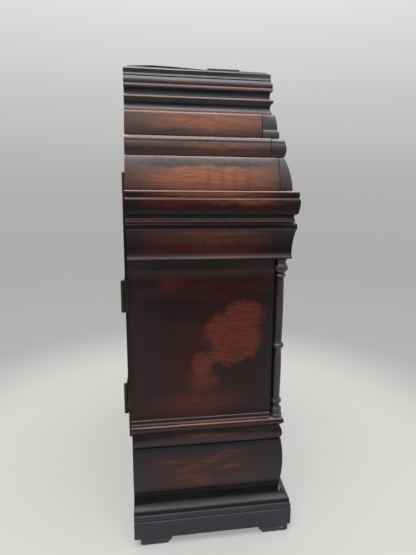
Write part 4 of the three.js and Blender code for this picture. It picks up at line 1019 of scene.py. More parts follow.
@dataclass
class Base:
    """The feet, the plinth, the swelling base and the sill over it."""

    palette: Palette
    foot_outer: float = 123.6
    foot_width: float = 22.0
    foot_levels: tuple[tuple[float, float, float], ...] = (
        (0.0, 1.8, 22.5), (1.1, 0.0, 23.0), (2.1, 0.0, 23.9), (4.2, 0.0, 26.1), (6.0, 0.0, 26.1)
    )
    foot_back: float = 58.65
    foot_front: float = -67.25
    plinth_seat: Seat = (6.0, 111.2, -55.35)
    frieze_seat: Seat = (43.0, 106.9, -51.05)
    sill_seat: Seat = (83.4, 106.0, -42.05)

    def foot(self) -> Piece:
        """Models the front left foot, with its curled inner end.

        Returns:
            The foot.
        """
        low, near, far = self.foot_levels[0]
        Bench.clear()
        bpy.ops.mesh.primitive_plane_add(size=MM)
        bench = Bench.take(bpy.context.object, "front_left_foot")
        bpy.ops.transform.resize(value=(self.foot_width, far - near, 1))
        bench.obj.location = Vector(
            (-self.foot_outer + self.foot_width / 2, self.foot_front + (near + far) / 2, low)
        ) * MM
        bpy.ops.object.transform_apply(location=True, rotation=True, scale=True)
        bench.edit()
        for height, next_near, next_far in self.foot_levels[1:]:
            bench.raise_up(height - low)
            middle, top = self.foot_front + (near + far) / 2, height - SLIP
            for is_far, shift in ((False, next_near - near), (True, next_far - far)):
                bench.pick(lambda at: at.z > top and (at.y > middle) == is_far)
                bench.move(0, shift, 0)
            bench.pick(lambda at: at.z > top)
            low, near, far = height, next_near, next_far
        bench.close()
        bench.soften(0.7, segments=3, angle=20)
        return bench.smooth()

    def feet(self) -> None:
        """Models the four feet, three of them mirrored from the front left one."""
        foot = self.foot()
        copies = {"foot_front_left": foot, "foot_front_right": mirrored(foot, "front_right_foot")}
        shift = self.foot_back + self.foot_front
        for side in ("left", "right"):
            back = mirrored(copies[f"foot_front_{side}"], f"back_{side}_foot", "Y")
            back.data.transform(Matrix.Translation((0, shift * MM, 0)))
            copies[f"foot_back_{side}"] = back
        chip = left_side(Tone.CHIP, (-61.5, 3.8, 2.2, 0.8, 3, 0.6, 0.8))
        # The blue-grey stain is a painted sheen, the reflection of the pale floor in the polish, as on the
        # plinth.
        wood = self.palette.wood(
            "foot_wood", chip, thin=0.12, rough=0.36, gloss=0.5, stain=(0.044, 0.052, 0.068, 1)
        )
        for node, piece in copies.items():
            dress(piece, wood, node)

    def build(self) -> None:
        """Builds and dresses the base."""
        self.feet()
        self.plinth()
        self.swelling()
        self.sill()
        self.palette.put_node(self.palette.plain, "bottom_board")
        dress(softened("back_rail", 0.5), self.palette.across, "back_rail")

    def plinth(self) -> None:
        """Models the plinth: a flat face under a quirk, a round and a hollow."""
        outline = Outline(4.9).line(6.2, 1.3).line(6.2, 16.2).line(5.2, 16.5).line(5.6, 17.2)
        outline.bow(5.3, 21.6, 0.5).line(4.4, 22).bow(3.4, 26.2, 1.0).bow(-1.0, 31, -1.1).bow(-2.6, 37, -0.6)
        piece = moulding("plinth", outline, Run.ALL_ROUND, self.plinth_seat)
        marks = [
            # Painted shade: near black in the hollow under the swelling, and a darker band on the round
            # under the bead.
            *bands(Tone.DARK, (39.5, 6.8, 1.2, 0.15), (29.6, 1.6, 0.8, 0.5, 0.8)),
            # A painted highlight: a lighter line along the bead.
            arris(32.0, 0.7, Tone.RED, 0.7),
            arris(22.5, 0.3, Tone.RED, 0.6),
            *left_side(Tone.CHIP, (-60.5, 37.5, 1.0, 2.4, 4, 0.6, 0.8)),
        ]
        # The blue-grey stain is a painted sheen, the reflection of the pale floor in the polish; the
        # near-black dark colour is the painted shade of the hollow.
        wood = self.palette.wood(
            "plinth_wood", marks, thin=0.12, rough=0.36, gloss=0.26,
            stain=(0.044, 0.047, 0.060, 1), red=(0.085, 0.062, 0.065, 1), dark=(0.002, 0.002, 0.003, 1),
        )
        dress(piece, wood, "plinth_moulding")

    def swelling(self) -> None:
        """Models the base's swelling frieze."""
        outline = Outline(-2.6).bow(-2.6, 40.4, 1.7)
        piece = moulding("swelling_frieze", outline, Run.ALL_ROUND, self.frieze_seat)
        joint = (0.3, 30, 0.2, 0.4)
        marks = [
            *left_side(Tone.RED, (6, 64, 42, 15, 16, 0.7, 0.42)),
            *left_side(
                Tone.BARE,
                (33, 70.5, 12, 1.5, 9, 0.8, 0.22), (13, 65.5, 10, 1.7, 9, 0.8, 0.34),
                (2, 69, 9, 1.5, 9, 0.8, 0.32), (-8, 72.5, 9, 1.3, 9, 0.8, 0.34),
                (-19, 76, 11, 1.1, 9, 0.8, 0.28), (-14, 62.5, 10, 1.5, 9, 0.8, 0.36),
                (22, 63, 9, 2.6, 9, 0.8, 0.28), (20, 56, 11, 2.2, 9, 0.8, 0.32),
                (7, 52, 8, 4.6, 9, 0.8, 0.34), (0, 50, 48, 5, 8, 0.9, 0.16),
            ),
            *both_sides(Tone.DARK, (-53.4, 63, *joint), (-55.6, 63, *joint)),
            # Painted shadow: the top of the swelling darkened under the sill's overhang.
            *bands(Tone.DARK, (81.5, 4, 2, 0.7, 0.8)),
            arris(43.8, 0.7, Tone.RED, 0.8),
            *dark_ends(63, 0.6),
        ]
        wood = self.palette.wood(
            "swelling_wood", marks, thin=0.22, rough=0.32,
            stain=(0.024, 0.019, 0.024, 1), dark=(0.022, 0.024, 0.031, 1),
        )
        dress(piece, wood, "base_frieze")

    def sill(self) -> None:
        """Models the sill: a torus, a deep quirk and a lip."""
        outline = Outline(-3.8).bow(-3.8, 12.2, 2).line(-4, 12.7).line(-1.3, 15.4)
        outline.bow(-1.6, 19.4, 0.5).line(-4.2, 21.2)
        piece = moulding("sill", outline, Run.ALL_ROUND, self.sill_seat)
        marks = [
            *left_side(Tone.BARE, (0, 104.0, 40, 1.4, 2, 0.5, 0.95), (3, 92.2, 22, 1.2, 4, 0.8, 0.4)),
            *left_side(Tone.RED, (5, 102.4, 90, 2.0, 2, 0.5, 0.9)),
            arris(84.2, 1.0, Tone.RED, 0.9),
            # A painted highlight, partly rubbed wear, along the lip's upper arris.
            arris(102.9, 0.5, strength=0.35),
            # Painted shadow in the deep quirk between the torus and the lip.
            *bands(Tone.DARK, (97.8, 1.6, 0.4, 0.4)),
            *dark_ends(92, 0.4),
        ]
        wood = self.palette.wood(
            "sill_wood", marks, thin=0.2, gloss=0.42, lines=0.25, stain=(0.030, 0.021, 0.025, 1)
        )
        dress(piece, wood, "sill_moulding")


@dataclass
class Body:
    """The sides of the case, the front frame, the columns and the frieze."""

    palette: Palette
    column_x: float = 111.5
    column_y: float = -55.85
    column_foot: float = 104.6
    column_rings: tuple[tuple[float, float], ...] = (
        (5.5, 0), (5.5, 1.2), (3.9, 1.8), (3.7, 2.2), (4.7, 3.2), (5.1, 4.9), (4.7, 6.6), (3.6, 7.6),
        (3.2, 8.4), (3.2, 10.8), (4.3, 11.4), (4.7, 12.4), (4.7, 13.2), (4.3, 14.2), (3.2, 15.2),
        (3.2, 19.0), (3.42, 29.0), (3.55, 39.0), (3.42, 49.0), (3.2, 59.0), (4.3, 60.4), (5.0, 61.4),
        (5.0, 62.6), (4.3, 63.6), (3.2, 64.8), (3.42, 78.0), (3.55, 92.0), (3.42, 106.0), (3.2, 119.5),
        (4.4, 120.2), (4.8, 121.1), (4.4, 121.9), (3.5, 122.7), (4.0, 123.7), (5.6, 125.1), (6.2, 126.8),
        (6.0, 128.2), (5.0, 130.0), (4.2, 131.4), (4.2, 132.0), (4.6, 132.9), (5.0, 134.0), (5.0, 134.7),
    )
    frieze_seat: Seat = (239.3, 106.0, -41.95)

    def build(self) -> None:
        """Builds and dresses the body."""
        self.panels()
        dress(softened("front_frame", 0.5), self.palette.across, "front_frame")
        place = (-self.column_x, self.column_y, self.column_foot)
        column = turned("left_column", self.column_rings, place)
        other = mirrored(column, "right_column")
        wood = self.palette.wood(
            "column_wood", thin=0.25, gloss=0.6, way=Way.UP, stain=(0.056, 0.054, 0.066, 1)
        )
        dress(column, wood, "column_left")
        dress(other, wood, "column_right")
        self.frieze()

    def panels(self) -> None:
        """Models the two side panels, the left one worn through in a broad patch."""
        patch = (15.0, 0.2, 0.9)
        left = [
            *left_side(
                Tone.RED,
                (32, 224, 15, 7, 14, 0.8, 0.9), (8, 229, 24, 4, 14, 0.9, 0.7),
                (-22, 231, 22, 3, 14, 0.9, 0.7), (-4, 221, 30, 4, 14, 0.9, 0.6),
                (-28, 216, 20, 5, 14, 0.9, 0.6), (-16, 178, 34, 40, 22, 0.6, 0.55),
                (8, 140, 40, 36, 22, 0.7, 0.4),
            ),
            *left_side(
                Tone.BARE,
                (33, 222, 9, 5, 11, 0.9, 0.35), (-26, 194, 19, 14, *patch), (-12, 182, 19, 15, *patch),
                (-29, 173, 13, 16, *patch), (-12, 165, 17, 13, *patch), (6, 154, 10, 12, *patch),
                (6, 140, 13, 9, 15, 0.5, 0.75), (10, 123, 34, 9, 18, 0.7, 0.5),
                (0, 104.8, 42, 1.7, 2, 0.5, 0.9),
            ),
            *left_side(
                Tone.DARK,
                (1, 167.6, 3.6, 3.4, 9, 0.6, 0.75), (-6.5, 149, 3.6, 5, 9, 0.6, 0.75),
                (7, 131.4, 12, 0.8, 6, 0.8, 0.7),
            ),
            # The first band is painted shadow under the frieze's lip; the second darkens the panel's foot.
            *bands(Tone.DARK, (239, 4, 4, 0.9, 0.6), (106.8, 1.2, 0.5, 0.5)),
            *both_sides(Tone.DARK, (-50, 150, 10, 70, 8, 0.8, 0.8)),
            arris(109.2, 0.5, strength=0.1),
        ]
        right = [
            *both_sides(Tone.RED, (4, 170, 44, 50, 22, 0.6, 0.6)),
            *both_sides(Tone.BARE, (12, 150, 18, 26, 22, 0.3, 0.6), (-10, 118, 30, 7, 16, 0.5, 0.5)),
        ]
        shared = [
            *both_sides(Tone.RED, (58, 180, 3.2, 70, 2, 0.5, 0.7)),
            *both_sides(Tone.DARK, (50, 175, 13, 50, 10, 0.7, 0.7)),
        ]
        for side, marks in (("left", left), ("right", right)):
            node = f"side_panel_{side}"
            wood = self.palette.wood(
                f"{side}_panel_wood", shared + marks, thin=0.3, gloss=0.27, stain=(0.026, 0.011, 0.014, 1),
                red=(0.090, 0.015, 0.013, 1), bare=(0.225, 0.050, 0.032, 1), dark=(0.024, 0.023, 0.029, 1),
            )
            dress(softened(node, 0.4, wear=0.15), wood, node)

    def frieze(self) -> None:
        """Models the frieze over the opening: a lip, a hollow and a fillet."""
        outline = Outline(-1.2).bow(-0.1, 2.3, 0.6).line(-1.6, 4.6).bow(1.6, 23.2, -1.5)
        face = Outline(-1.2).bow(0.1, 2.3, 0.6).line(0.0, 4.6).bow(2.0, 23.2, -0.2)
        for side in (outline, face):
            side.line(2.4, 23.8).line(2.4, 28.2).line(0.6, 29.4)
        piece = moulding("frieze", outline, Run.ALL_ROUND, self.frieze_seat, wear=0.8, front_outline=face)
        marks = [
            *left_side(Tone.BARE, (-2, 260.4, 36, 1.7, 5, 0.7, 0.75), (0, 255, 38, 3.4, 9, 0.9, 0.45)),
            *left_side(Tone.RED, (4, 260, 80, 2.6, 3, 0.4), (16, 247.2, 40, 2.4, 4, 0.6)),
            *bands(Tone.DARK, (266, 1.4, 0.6, 0.5)),
            # Painted highlights, partly rubbed wear, along the fillet's lower arris and along the lip.
            arris(263.4, 0.5, strength=0.3),
            arris(241.8, 1.0, strength=0.18),
            *dark_ends(254, 0.8),
        ]
        dress(piece, self.palette.wood("frieze_wood", marks, thin=0.3), "frieze_moulding")


@dataclass
class Pediment:
    """The cornice and the stepped top over it."""

    palette: Palette
    cornice_seat: Seat = (268.7, 106.6, -41.95)
    lower_seat: Seat = (292.2, 103.7, -51.65)
    torus_seat: Seat = (317.4, 98.4, -45.55)
    upper_seat: Seat = (331.7, 93.3, -39.25)
    crown_seat: Seat = (349.7, 86.6, -30.75)

    def build(self) -> None:
        """Builds and dresses the pediment."""
        self.cornice()
        self.tiers()
        self.crown()
        top = softened("top_board", 0.6, wear=0.3)
        marks = left_side(Tone.RED, (24, 379, 6, 3.0, 8, 0.8, 0.5), (22, 374.5, 12, 1.5, 5, 0.8, 0.5))
        # The blue-grey stain is a painted sheen, the reflection of the pale overhead light in the polish.
        wood = self.palette.wood(
            "top_wood", marks, thin=0.25, rough=0.38, gloss=0.6,
            stain=(0.052, 0.061, 0.075, 1), red=(0.12, 0.06, 0.06, 1),
        )
        dress(top, wood, "top_board")
        dress(softened("pediment_back", 0.4), self.palette.across, "pediment_back")

    def cornice(self) -> None:
        """Models the cornice: a neck, a tall ovolo and two fillets."""
        outline = Outline(0.9).line(0.7, 2.4).bow(0.5, 5.0, -0.4).line(2.6, 6).bow(4, 17, 0.5)
        outline.line(2.8, 18.4).line(3.3, 19.6).line(3.1, 22.9).line(2.4, 23.5)
        piece = moulding("cornice", outline, Run.ALL_ROUND, self.cornice_seat)
        marks = [
            *left_side(Tone.BARE, (0, 289.2, 38, 1.8, 4, 0.6, 0.9), (-28, 284, 30, 2.0, 8, 0.7, 0.5)),
            *left_side(Tone.RED, (8, 289.2, 80, 2.2, 3, 0.4, 0.9), (5, 282.8, 70, 2.6, 5, 0.5)),
            # Painted shadow in the corner under the neck's step.
            *bands(Tone.DARK, (274.4, 1.5, 0.6, 0.4)),
            # Painted highlights, partly rubbed wear, along the lower and the upper arris.
            arris(269.4, 0.6, strength=0.5),
            arris(292.0, 0.7, strength=0.9),
            *dark_ends(280, 0.7),
        ]
        wood = self.palette.wood("cornice_wood", marks, thin=0.3, lines=0.28, bare=(0.42, 0.145, 0.065, 1))
        dress(piece, wood, "cornice_moulding")

    def tiers(self) -> None:
        """Models the two sloping tiers and the torus between them, each of three strips."""
        lower = Outline(-1.3).bow(-7.2, 25.2, 1.3)
        torus = Outline(-7.1).line(-6.6, 1.4).bow(-6.9, 10.9, 0.9).bow(-9.8, 14.3, 0.9)
        upper = Outline(-11.7).bow(-14.1, 18, 0.6)
        upper_front = Outline(-10.5).bow(-11.22, 5.6, 0.3).line(-11.9, 6).bow(-14.1, 18, 0.6)
        tiers = (
            ("lower_tier", lower, lower, self.lower_seat, self.lower_marks()),
            ("torus", torus, torus, self.torus_seat, self.torus_marks()),
            ("upper_tier", upper, upper_front, self.upper_seat, self.upper_marks()),
        )
        # The front strips' pale lines are painted highlights, partly rubbed wear, along the top edges.
        front = self.palette.wood(
            "tier_front_wood", [arris(z, 0.8, strength=0.4) for z in (317.0, 331.3, 349.3)],
            way=Way.ACROSS, thin=0.15, gloss=0.5, stain=(0.058, 0.052, 0.060, 1),
        )
        for name, side_outline, front_outline, seat, marks in tiers:
            strip = moulding(f"{name}_left_strip", side_outline, Run.LEFT, seat)
            other = mirrored(strip, f"{name}_right_strip")
            face = moulding(f"{name}_front_strip", front_outline, Run.FRONT, seat)
            dress(strip, self.figured(f"{name}_left_wood", marks), f"{name}_left")
            dress(other, self.figured(f"{name}_right_wood", shifted(marks)), f"{name}_right")
            dress(face, front, f"{name}_front")

    def figured(self, name: str, marks: Sequence[Mark]) -> Material:
        """Makes the orange wood of a tier's side, by its name and where it is worn."""
        return self.palette.wood(
            name, marks, thin=0.3, gloss=0.55, bare=(0.43, 0.150, 0.065, 1),
            stain=(0.085, 0.056, 0.055, 1), dark=(0.022, 0.019, 0.022, 1),
        )

    @staticmethod
    def lower_marks() -> list[Mark]:
        """Marks the lower tier: bare in the middle under a broken dark band."""
        band = ((30, 312.2, 34, 2.9, 7, 0.5), (-16, 312.2, 36, 2.6, 7, 0.5, 0.95))
        streaks = [(y, 302, 1.8, 11, 3, 0.9, 0.3) for y in (3, -8, -17, -28)]
        return [
            *left_side(Tone.BARE, (0, 302, 52, 12, 10, 0.45)),
            *left_side(Tone.DARK, *band, *streaks),
            # A painted highlight, partly rubbed wear, along the top edge.
            *left_side(Tone.RUBBED_HIGHLIGHT, (4, 316.8, 80, 0.8, 2, 0.6, 0.75)),
            *dark_ends(304, 0.15),
        ]

    @staticmethod
    def torus_marks() -> list[Mark]:
        """Marks the torus: bare lines along it, and along its top edge a pale painted highlight that is
        partly rubbed wear.
        """
        return [
            *left_side(Tone.BARE, (-6, 324.4, 26, 2.2, 8, 0.8, 0.55), (-2, 320.6, 50, 1.2, 5, 0.8, 0.5)),
            *left_side(Tone.RED, (10, 329.2, 36, 1.4, 6, 0.6, 0.9)),
            *left_side(Tone.DARK, (5, 327.8, 90, 1.3, 4, 0.6, 0.7)),
            # A painted highlight, partly rubbed wear, along the top edge.
            arris(331.5, 0.9, strength=0.95),
            *dark_ends(325, 0.15),
        ]

    @staticmethod
    def upper_marks() -> list[Mark]:
        """Marks the upper tier: bare in the middle, and along its top edge a pale painted highlight that is
        partly rubbed wear.
        """
        return [
            *left_side(Tone.BARE, (2, 342.5, 52, 7.0, 9, 0.5, 0.9)),
            # A painted highlight, partly rubbed wear, along the top edge.
            *left_side(Tone.RUBBED_HIGHLIGHT, (4, 349.0, 90, 0.9, 1.5, 0.5, 0.9)),
            *left_side(Tone.DARK, (34, 335, 24, 2.4, 9, 0.8, 0.6)),
            *dark_ends(340, 0.15),
        ]

    def crown(self) -> None:
        """Models the crown under the top board: two rounds with hollows between."""
        outline = Outline(-15.6).line(-16.0, 1.6).bow(-16.2, 7.4, -0.9).bow(-16.2, 11.4, 1.4)
        outline.line(-17.4, 12.2).line(-17.2, 16.2).line(-15.6, 16.8)
        outline.bow(-15.8, 19, 0.3).bow(-17.3, 24.7, 0.8)
        piece = moulding("crown", outline, Run.ALL_ROUND, self.crown_seat, arris=0.25, wear=0.2)
        marks = [
            *left_side(Tone.BARE, (26, 371.8, 12, 1.6, 5, 0.8, 0.3), (4, 350.2, 90, 0.9, 1.5, 0.5, 0.7)),
            *left_side(Tone.RED, (4, 369.2, 90, 1.8, 3, 0.6, 0.8)),
            # Painted highlights, partly rubbed wear, along the lip's arris and on the bead.
            arris(367.3, 0.9, strength=0.6),
            arris(358.6, 1.2, Tone.RED, 0.9),
            arris(360.4, 0.5, strength=0.4),
            # Painted shade in the recess under the lip and in the lower hollow.
            *bands(Tone.DARK, (364.0, 2.2, 0.6, 0.3), (354.6, 2.2, 0.6, 0.4, 0.9)),
            *both_sides(Tone.DARK, (-42.9, 362, 0.3, 20, 0.2, 0.4)),
        ]
        # The blue-grey stain is a painted sheen, the reflection of the pale overhead light in the polish.
        wood = self.palette.wood(
            "crown_wood", marks, thin=0.12, gloss=0.55,
            stain=(0.042, 0.044, 0.055, 1), dark=(0.018, 0.020, 0.027, 1),
        )
        dress(piece, wood, "crown_moulding")


@dataclass
class RearDoor:
    """The door at the back with its hinges and its turning catch."""

    palette: Palette
    screw_radius: float = 1.7
    screw_height: float = 0.6
    slot_half: float = 0.22
    slot_depth: float = 0.35
    leaf_face: float = 67.25
    screws: tuple[tuple[float, float], ...] = ((-107.0, 20.0), (-100.5, 5.0))
    hinge_feet: tuple[float, ...] = (115.0, 199.0)

    def screw(self, name: str, place: Point) -> Piece:
        """Models a slotted screw head that faces backwards.

        Args:
            name: its name.
            place: middle of its underside.

        Returns:
            The screw head.
        """
        Bench.clear()
        bpy.ops.mesh.primitive_circle_add(vertices=24, radius=self.screw_radius * MM, fill_type="NGON")
        bench = Bench.take(bpy.context.object, name)
        bench.edit()
        bench.raise_up(0.6 * self.screw_height)
        bench.raise_up(0.4 * self.screw_height)
        bpy.ops.transform.resize(value=(0.8, 0.8, 1), center_override=(0, 0, self.screw_height * MM))
        bench.slice(0, (-self.slot_half, self.slot_half))
        bench.pick_faces(
            lambda at, normal: abs(at.x) < self.slot_half and at.z > self.screw_height - SLIP
        )
        bench.raise_up(-self.slot_depth)
        bpy.ops.mesh.select_mode(type="VERT")
        bench.close()
        bench.obj.rotation_euler = (-math.pi / 2, 0.6 + place[2], 0)
        bench.obj.location = Vector(place) * MM
        return bench.smooth()

    def build(self) -> None:
        """Builds and dresses the rear door."""
        wood = self.palette.wood("rear_door_wood", thin=0.3, way=Way.UP)
        dress(softened("rear_door", 0.6), wood, "rear_door", body="rear_door_body")
        leaves = [f"rear_hinge_{at}_{leaf}_leaf" for leaf in ("fixed", "door") for at in ("lower", "upper")]
        self.palette.put_node(self.palette.aged_brass, *leaves, "rear_turn_catch")
        for foot in self.hinge_feet:
            for place, (x, rise) in enumerate(self.screws):
                head = self.screw(f"hinge_screw_{foot:.0f}_{place}", (x, self.leaf_face, foot + rise))
                dress(head, self.palette.steel, body="rear_door_body")


@dataclass
class FrontDoor:
    """The glazed front door with its knob."""

    palette: Palette
    knob_place: Point = (-96.6, -58.55, 173.5)
    knob_rings: tuple[tuple[float, float], ...] = (
        (3.0, 0), (3.0, 0.7), (1.7, 1.3), (1.5, 1.8), (2.4, 2.2), (3.2, 2.8), (3.4, 3.4), (3.0, 4.1),
        (2.0, 4.5), (0.8, 4.6),
    )

    def build(self) -> None:
        """Builds and dresses the front door."""
        body = "front_door_body"
        wood = self.palette.wood("front_door_wood", thin=0.45, way=Way.UP)
        dress(softened("front_door_frame", 0.5), wood, "front_door_frame", body=body)
        self.palette.put_node(self.palette.glass, "front_door_glass")
        knob = turned("door_knob", self.knob_rings, self.knob_place, forwards=True)
        dress(knob, self.palette.aged_brass, "front_door_knob", body)


@dataclass
class Dial:
    """The dial with its numerals and minute track, the mask round it and the hands."""

    palette: Palette
    centre_rise: float = 173.5
    face: float = -43.55
    numeral_radius: float = 35.5
    numeral_size: float = 10.5
    track_inner: float = 43.4
    track_outer: float = 46.6
    line_width: float = 0.3
    relief: float = 0.06
    boldness: float = 0.12
    narrowness: float = 0.78
    numerals: tuple[str, ...] = tuple("XII I II III IIII V VI VII VIII IX X XI".split())

    def numeral(self, hour: int, text: str) -> Piece:
        """Writes one numeral, its foot towards the middle.

        Args:
            hour: its place on the dial.
            text: what it says.

        Returns:
            The numeral as a mesh.
        """
        Bench.clear()
        bpy.ops.object.text_add()
        letters = bpy.context.object
        letters.data.body = text
        letters.data.size = self.numeral_size * MM
        letters.data.align_x = letters.data.align_y = "CENTER"
        letters.data.extrude = self.relief * MM
        letters.data.offset = self.boldness * MM
        letters.scale = (self.narrowness, 1, 1)
        turn = hour * math.pi / 6
        letters.rotation_euler = (math.pi / 2, turn, 0)
        across, up = self.numeral_radius * math.sin(turn), self.numeral_radius * math.cos(turn)
        letters.location = Vector((across, self.face, self.centre_rise + up)) * MM
        bpy.ops.object.convert(target="MESH")
        return Bench.take(bpy.context.object, f"numeral_{hour or 12}").smooth(30)

    def ring(self, name: str, radius: float) -> Piece:
        """Models one thin painted line round the dial.

        Args:
            name: its name.
            radius: its inner radius.

        Returns:
            The line.
        """
        edge = radius + self.line_width
        profile = [(radius, 0), (edge, 0), (edge, self.relief), (radius, self.relief)]
        return turned(name, profile, (0, self.face, self.centre_rise), count=96, forwards=True, hollow=True)

    def ticks(self) -> Piece:
        """Models the sixty minute strokes, turned from one.

        Returns:
            The strokes.
        """
        Bench.clear()
        length = self.track_outer - self.track_inner
        middle = (0, self.face * MM, (self.centre_rise + self.track_inner + length / 2) * MM)
        bpy.ops.mesh.primitive_plane_add(size=MM, rotation=(math.pi / 2, 0, 0), location=middle)
        bench = Bench.take(bpy.context.object, "minute_strokes")
        bench.obj.scale = (self.line_width, length, 1)
        bpy.ops.object.transform_apply(location=True, rotation=True, scale=True)
        bench.edit()
        bpy.ops.mesh.extrude_region_move(TRANSFORM_OT_translate={"value": (0, -self.relief * MM, 0)})
        bpy.ops.mesh.select_all(action="SELECT")
        centre = (0, self.face * MM, self.centre_rise * MM)
        bpy.ops.mesh.spin(steps=60, dupli=True, angle=2 * math.pi, center=centre, axis=(0, 1, 0))
        bench.close()
        return bench.smooth(30)

    def build(self) -> None:
        """Builds and dresses the dial."""
        put_node = self.palette.put_node
        put_node(self.palette.brass, "dial_mask")
        put_node(self.palette.enamel, "dial")
        put_node(self.palette.black_steel, "hour_hand", "minute_hand")
        pieces = [self.numeral(hour, text) for hour, text in enumerate(self.numerals)]
        pieces.append(self.ring("inner_track_line", self.track_inner - self.line_width))
        pieces.append(self.ring("outer_track_line", self.track_outer))
        pieces.append(self.ticks())
        for piece in pieces:
            dress(piece, self.palette.black_steel)


@dataclass
class Movement:
    """The movement: plates, trains, fusee, pendulum, hammer and bell."""

    palette: Palette

    def build(self) -> None:
        """Dresses the movement."""
        put_node = self.palette.put_node
        put_node(
            self.palette.brass,
            "back_plate", "front_plate", "great_wheel", "fusee", "mainspring_barrel", "centre_wheel",
            "third_wheel", "escape_wheel", "back_cock", "cannon_pinion", "minute_wheel", "hour_wheel",
            "pendulum_bob",
        )
        put_node(self.palette.steel, "fusee_chain", "pallet_arbor", "pendulum_rod", "strike_hammer")
        put_node(self.palette.bell_metal, "bell")
        put_node(self.palette.plain, "seat_board")
        LOG.info("movement: dressed")


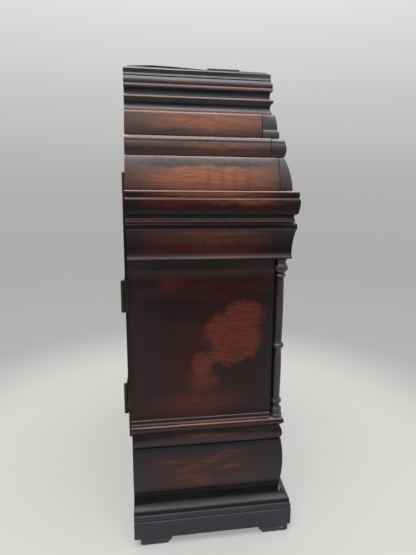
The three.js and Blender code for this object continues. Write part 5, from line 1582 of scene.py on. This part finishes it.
@dataclass
class Studio:
    """The pale floor, the soft light, the backdrop's colour and the camera."""

    eye: Point = (-428.59, 37.71, 296.53)
    right: Point = (-0.14062, -0.99001, 0.01026)
    up: Point = (0.17629, -0.01484, 0.98423)
    lens: float = 27.016
    shift: tuple[float, float] = (-0.0236, -0.0326)
    lamp_place: Point = (-160.0, 40.0, 1250.0)
    lamp_size: float = 1400.0
    lamp_watts: float = 26.0
    lamp_tilt: float = -8.0
    flag_x: float = -760.0
    flag_half: float = 900.0
    flag_height: float = 430.0
    floor_radius: float = 900.0
    floor_lift: float = 0.5
    floor_grey: float = 0.66
    world_light: float = 0.16
    floor_fade: tuple[float, float] = (0.22, 0.46)
    sky: tuple[tuple[float, float], ...] = (
        (0.0, 0.64), (0.2, 0.62), (0.29, 0.47), (0.41, 0.42), (0.5, 0.44), (0.6, 0.59), (0.695, 0.78),
        (1.0, 1.0),
    )

    def build(self) -> None:
        """Builds the studio."""
        self.camera()
        self.lamp()
        self.flag()
        self.world()
        self.floor()
        bpy.context.scene.view_settings.view_transform = "Standard"

    @staticmethod
    def seen(sheet: Sheet) -> Socket:
        """Tells the rays that see a surface, also in gloss and through glass, from those that light it."""
        rays = sheet.node("LightPath").outputs
        direct = sheet.math("MAXIMUM", rays["Is Camera Ray"], rays["Is Glossy Ray"])
        return sheet.math("MAXIMUM", direct, rays["Is Transmission Ray"])

    def camera(self) -> None:
        """Sets the camera at the photograph's viewing angle."""
        data = bpy.data.cameras.new("camera")
        data.lens = self.lens
        data.shift_x, data.shift_y = self.shift
        data.clip_start = 0.01
        camera = bpy.data.objects.new("camera", data)
        bpy.context.scene.collection.objects.link(camera)
        right, up = Vector(self.right).normalized(), Vector(self.up).normalized()
        back = right.cross(up)
        turn = Matrix((right, back.cross(right), back)).transposed().to_4x4()
        camera.matrix_world = Matrix.Translation(Vector(self.eye) * MM) @ turn
        bpy.context.scene.camera = camera

    def lamp(self) -> None:
        """Hangs one broad soft lamp over the clock."""
        data = bpy.data.lights.new("soft_lamp", "AREA")
        data.size = self.lamp_size * MM
        data.energy = self.lamp_watts
        lamp = bpy.data.objects.new("soft_lamp", data)
        lamp.location = Vector(self.lamp_place) * MM
        lamp.rotation_euler = (0, math.radians(self.lamp_tilt), 0)
        bpy.context.scene.collection.objects.link(lamp)

    def flag(self) -> None:
        """Stands a black card behind the camera, which keeps the upright faces dark."""
        Bench.clear()
        bpy.ops.mesh.primitive_plane_add(size=MM, rotation=(0, math.pi / 2, 0))
        card = bpy.context.object
        card.name = "black_card"
        card.scale = (self.flag_height, 2 * self.flag_half, 1)
        card.location = Vector((self.flag_x, 0, self.flag_height / 2)) * MM
        bpy.ops.object.transform_apply(location=True, rotation=True, scale=True)
        card.visible_camera = False
        material, sheet, shader, where = begin("black_card")
        cloud = sheet.noise(where, 8.0, 2.0)
        colour = sheet.mix(cloud.outputs[0], (0.03, 0.03, 0.03, 1), (0.05, 0.05, 0.05, 1))
        sheet.feed(shader.inputs["Base Color"], colour)
        Palette.put(material, card)

    def world(self) -> None:
        """Makes the surroundings: dim for lighting, pale where they are seen."""
        world = bpy.data.worlds.new("studio")
        world.use_nodes = True
        bpy.context.scene.world = world
        sheet = Sheet(world.node_tree)
        direction = sheet.node("TexCoord").outputs["Generated"]
        height = sheet.node("SeparateXYZ")
        sheet.feed(height.inputs[0], direction)
        ramp = sheet.node("ValToRGB")
        place = sheet.node("MapRange")
        for socket, value in enumerate((height.outputs["Z"], -1.0, 1.0)):
            sheet.feed(place.inputs[socket], value)
        sheet.feed(ramp.inputs[0], place.outputs[0])
        stops = ramp.color_ramp.elements
        for stop, (position, grey) in zip(
            (*stops, *(stops.new(0.5) for _ in self.sky[2:])), self.sky
        ):
            stop.position = position
            stop.color = (grey, grey, grey * 0.98, 1)
        seen = self.seen(sheet)
        grey = self.world_light
        colour = sheet.mix(seen, (grey, grey, grey, 1), ramp.outputs[0])
        sheet.feed(world.node_tree.nodes["Background"].inputs["Color"], colour)

    def floor(self) -> None:
        """Lays the pale floor, which fades into the backdrop."""
        Bench.clear()
        bpy.ops.mesh.primitive_circle_add(vertices=96, radius=self.floor_radius * MM, fill_type="NGON")
        floor = bpy.context.object
        floor.name = "floor"
        material, sheet, shader, where = begin("pale_floor")
        cloud = sheet.noise(where, 3.0, 2.0)
        colour = sheet.mix(cloud.outputs[0], (0.61, 0.595, 0.57, 1), (0.65, 0.635, 0.62, 1))
        sheet.feed(shader.inputs["Base Color"], colour)
        shader.inputs["Roughness"].default_value = 0.6
        away = sheet.vector("LENGTH", where)
        seen = self.seen(sheet)
        glow = sheet.node("Emission")
        grey = self.floor_grey
        glow.inputs["Color"].default_value = (grey, grey, grey * 0.98, 1)
        lifted = sheet.node("MixShader")
        sheet.feed(lifted.inputs[0], sheet.math("MULTIPLY", seen, self.floor_lift))
        sheet.feed(lifted.inputs[1], shader.outputs[0])
        sheet.feed(lifted.inputs[2], glow.outputs[0])
        faded = sheet.node("MixShader")
        sheet.feed(faded.inputs[0], sheet.spread(away.outputs["Value"], *self.floor_fade))
        sheet.feed(faded.inputs[1], lifted.outputs[0])
        sheet.feed(faded.inputs[2], sheet.node("BsdfTransparent").outputs[0])
        sheet.feed(material.node_tree.nodes["Material Output"].inputs["Surface"], faded.outputs[0])
        Palette.put(material, floor)


def main() -> None:
    """Builds every part of the clock and the studio."""
    logging.basicConfig(level=logging.INFO, format="%(name)s: %(message)s")
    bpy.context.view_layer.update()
    Studio().build()
    palette = Palette()
    for part in (Base, Body, Pediment, RearDoor, FrontDoor, Dial, Movement):
        part(palette).build()
        LOG.info("%s: finished", part.__name__)


if __name__ == "__main__":
    main()
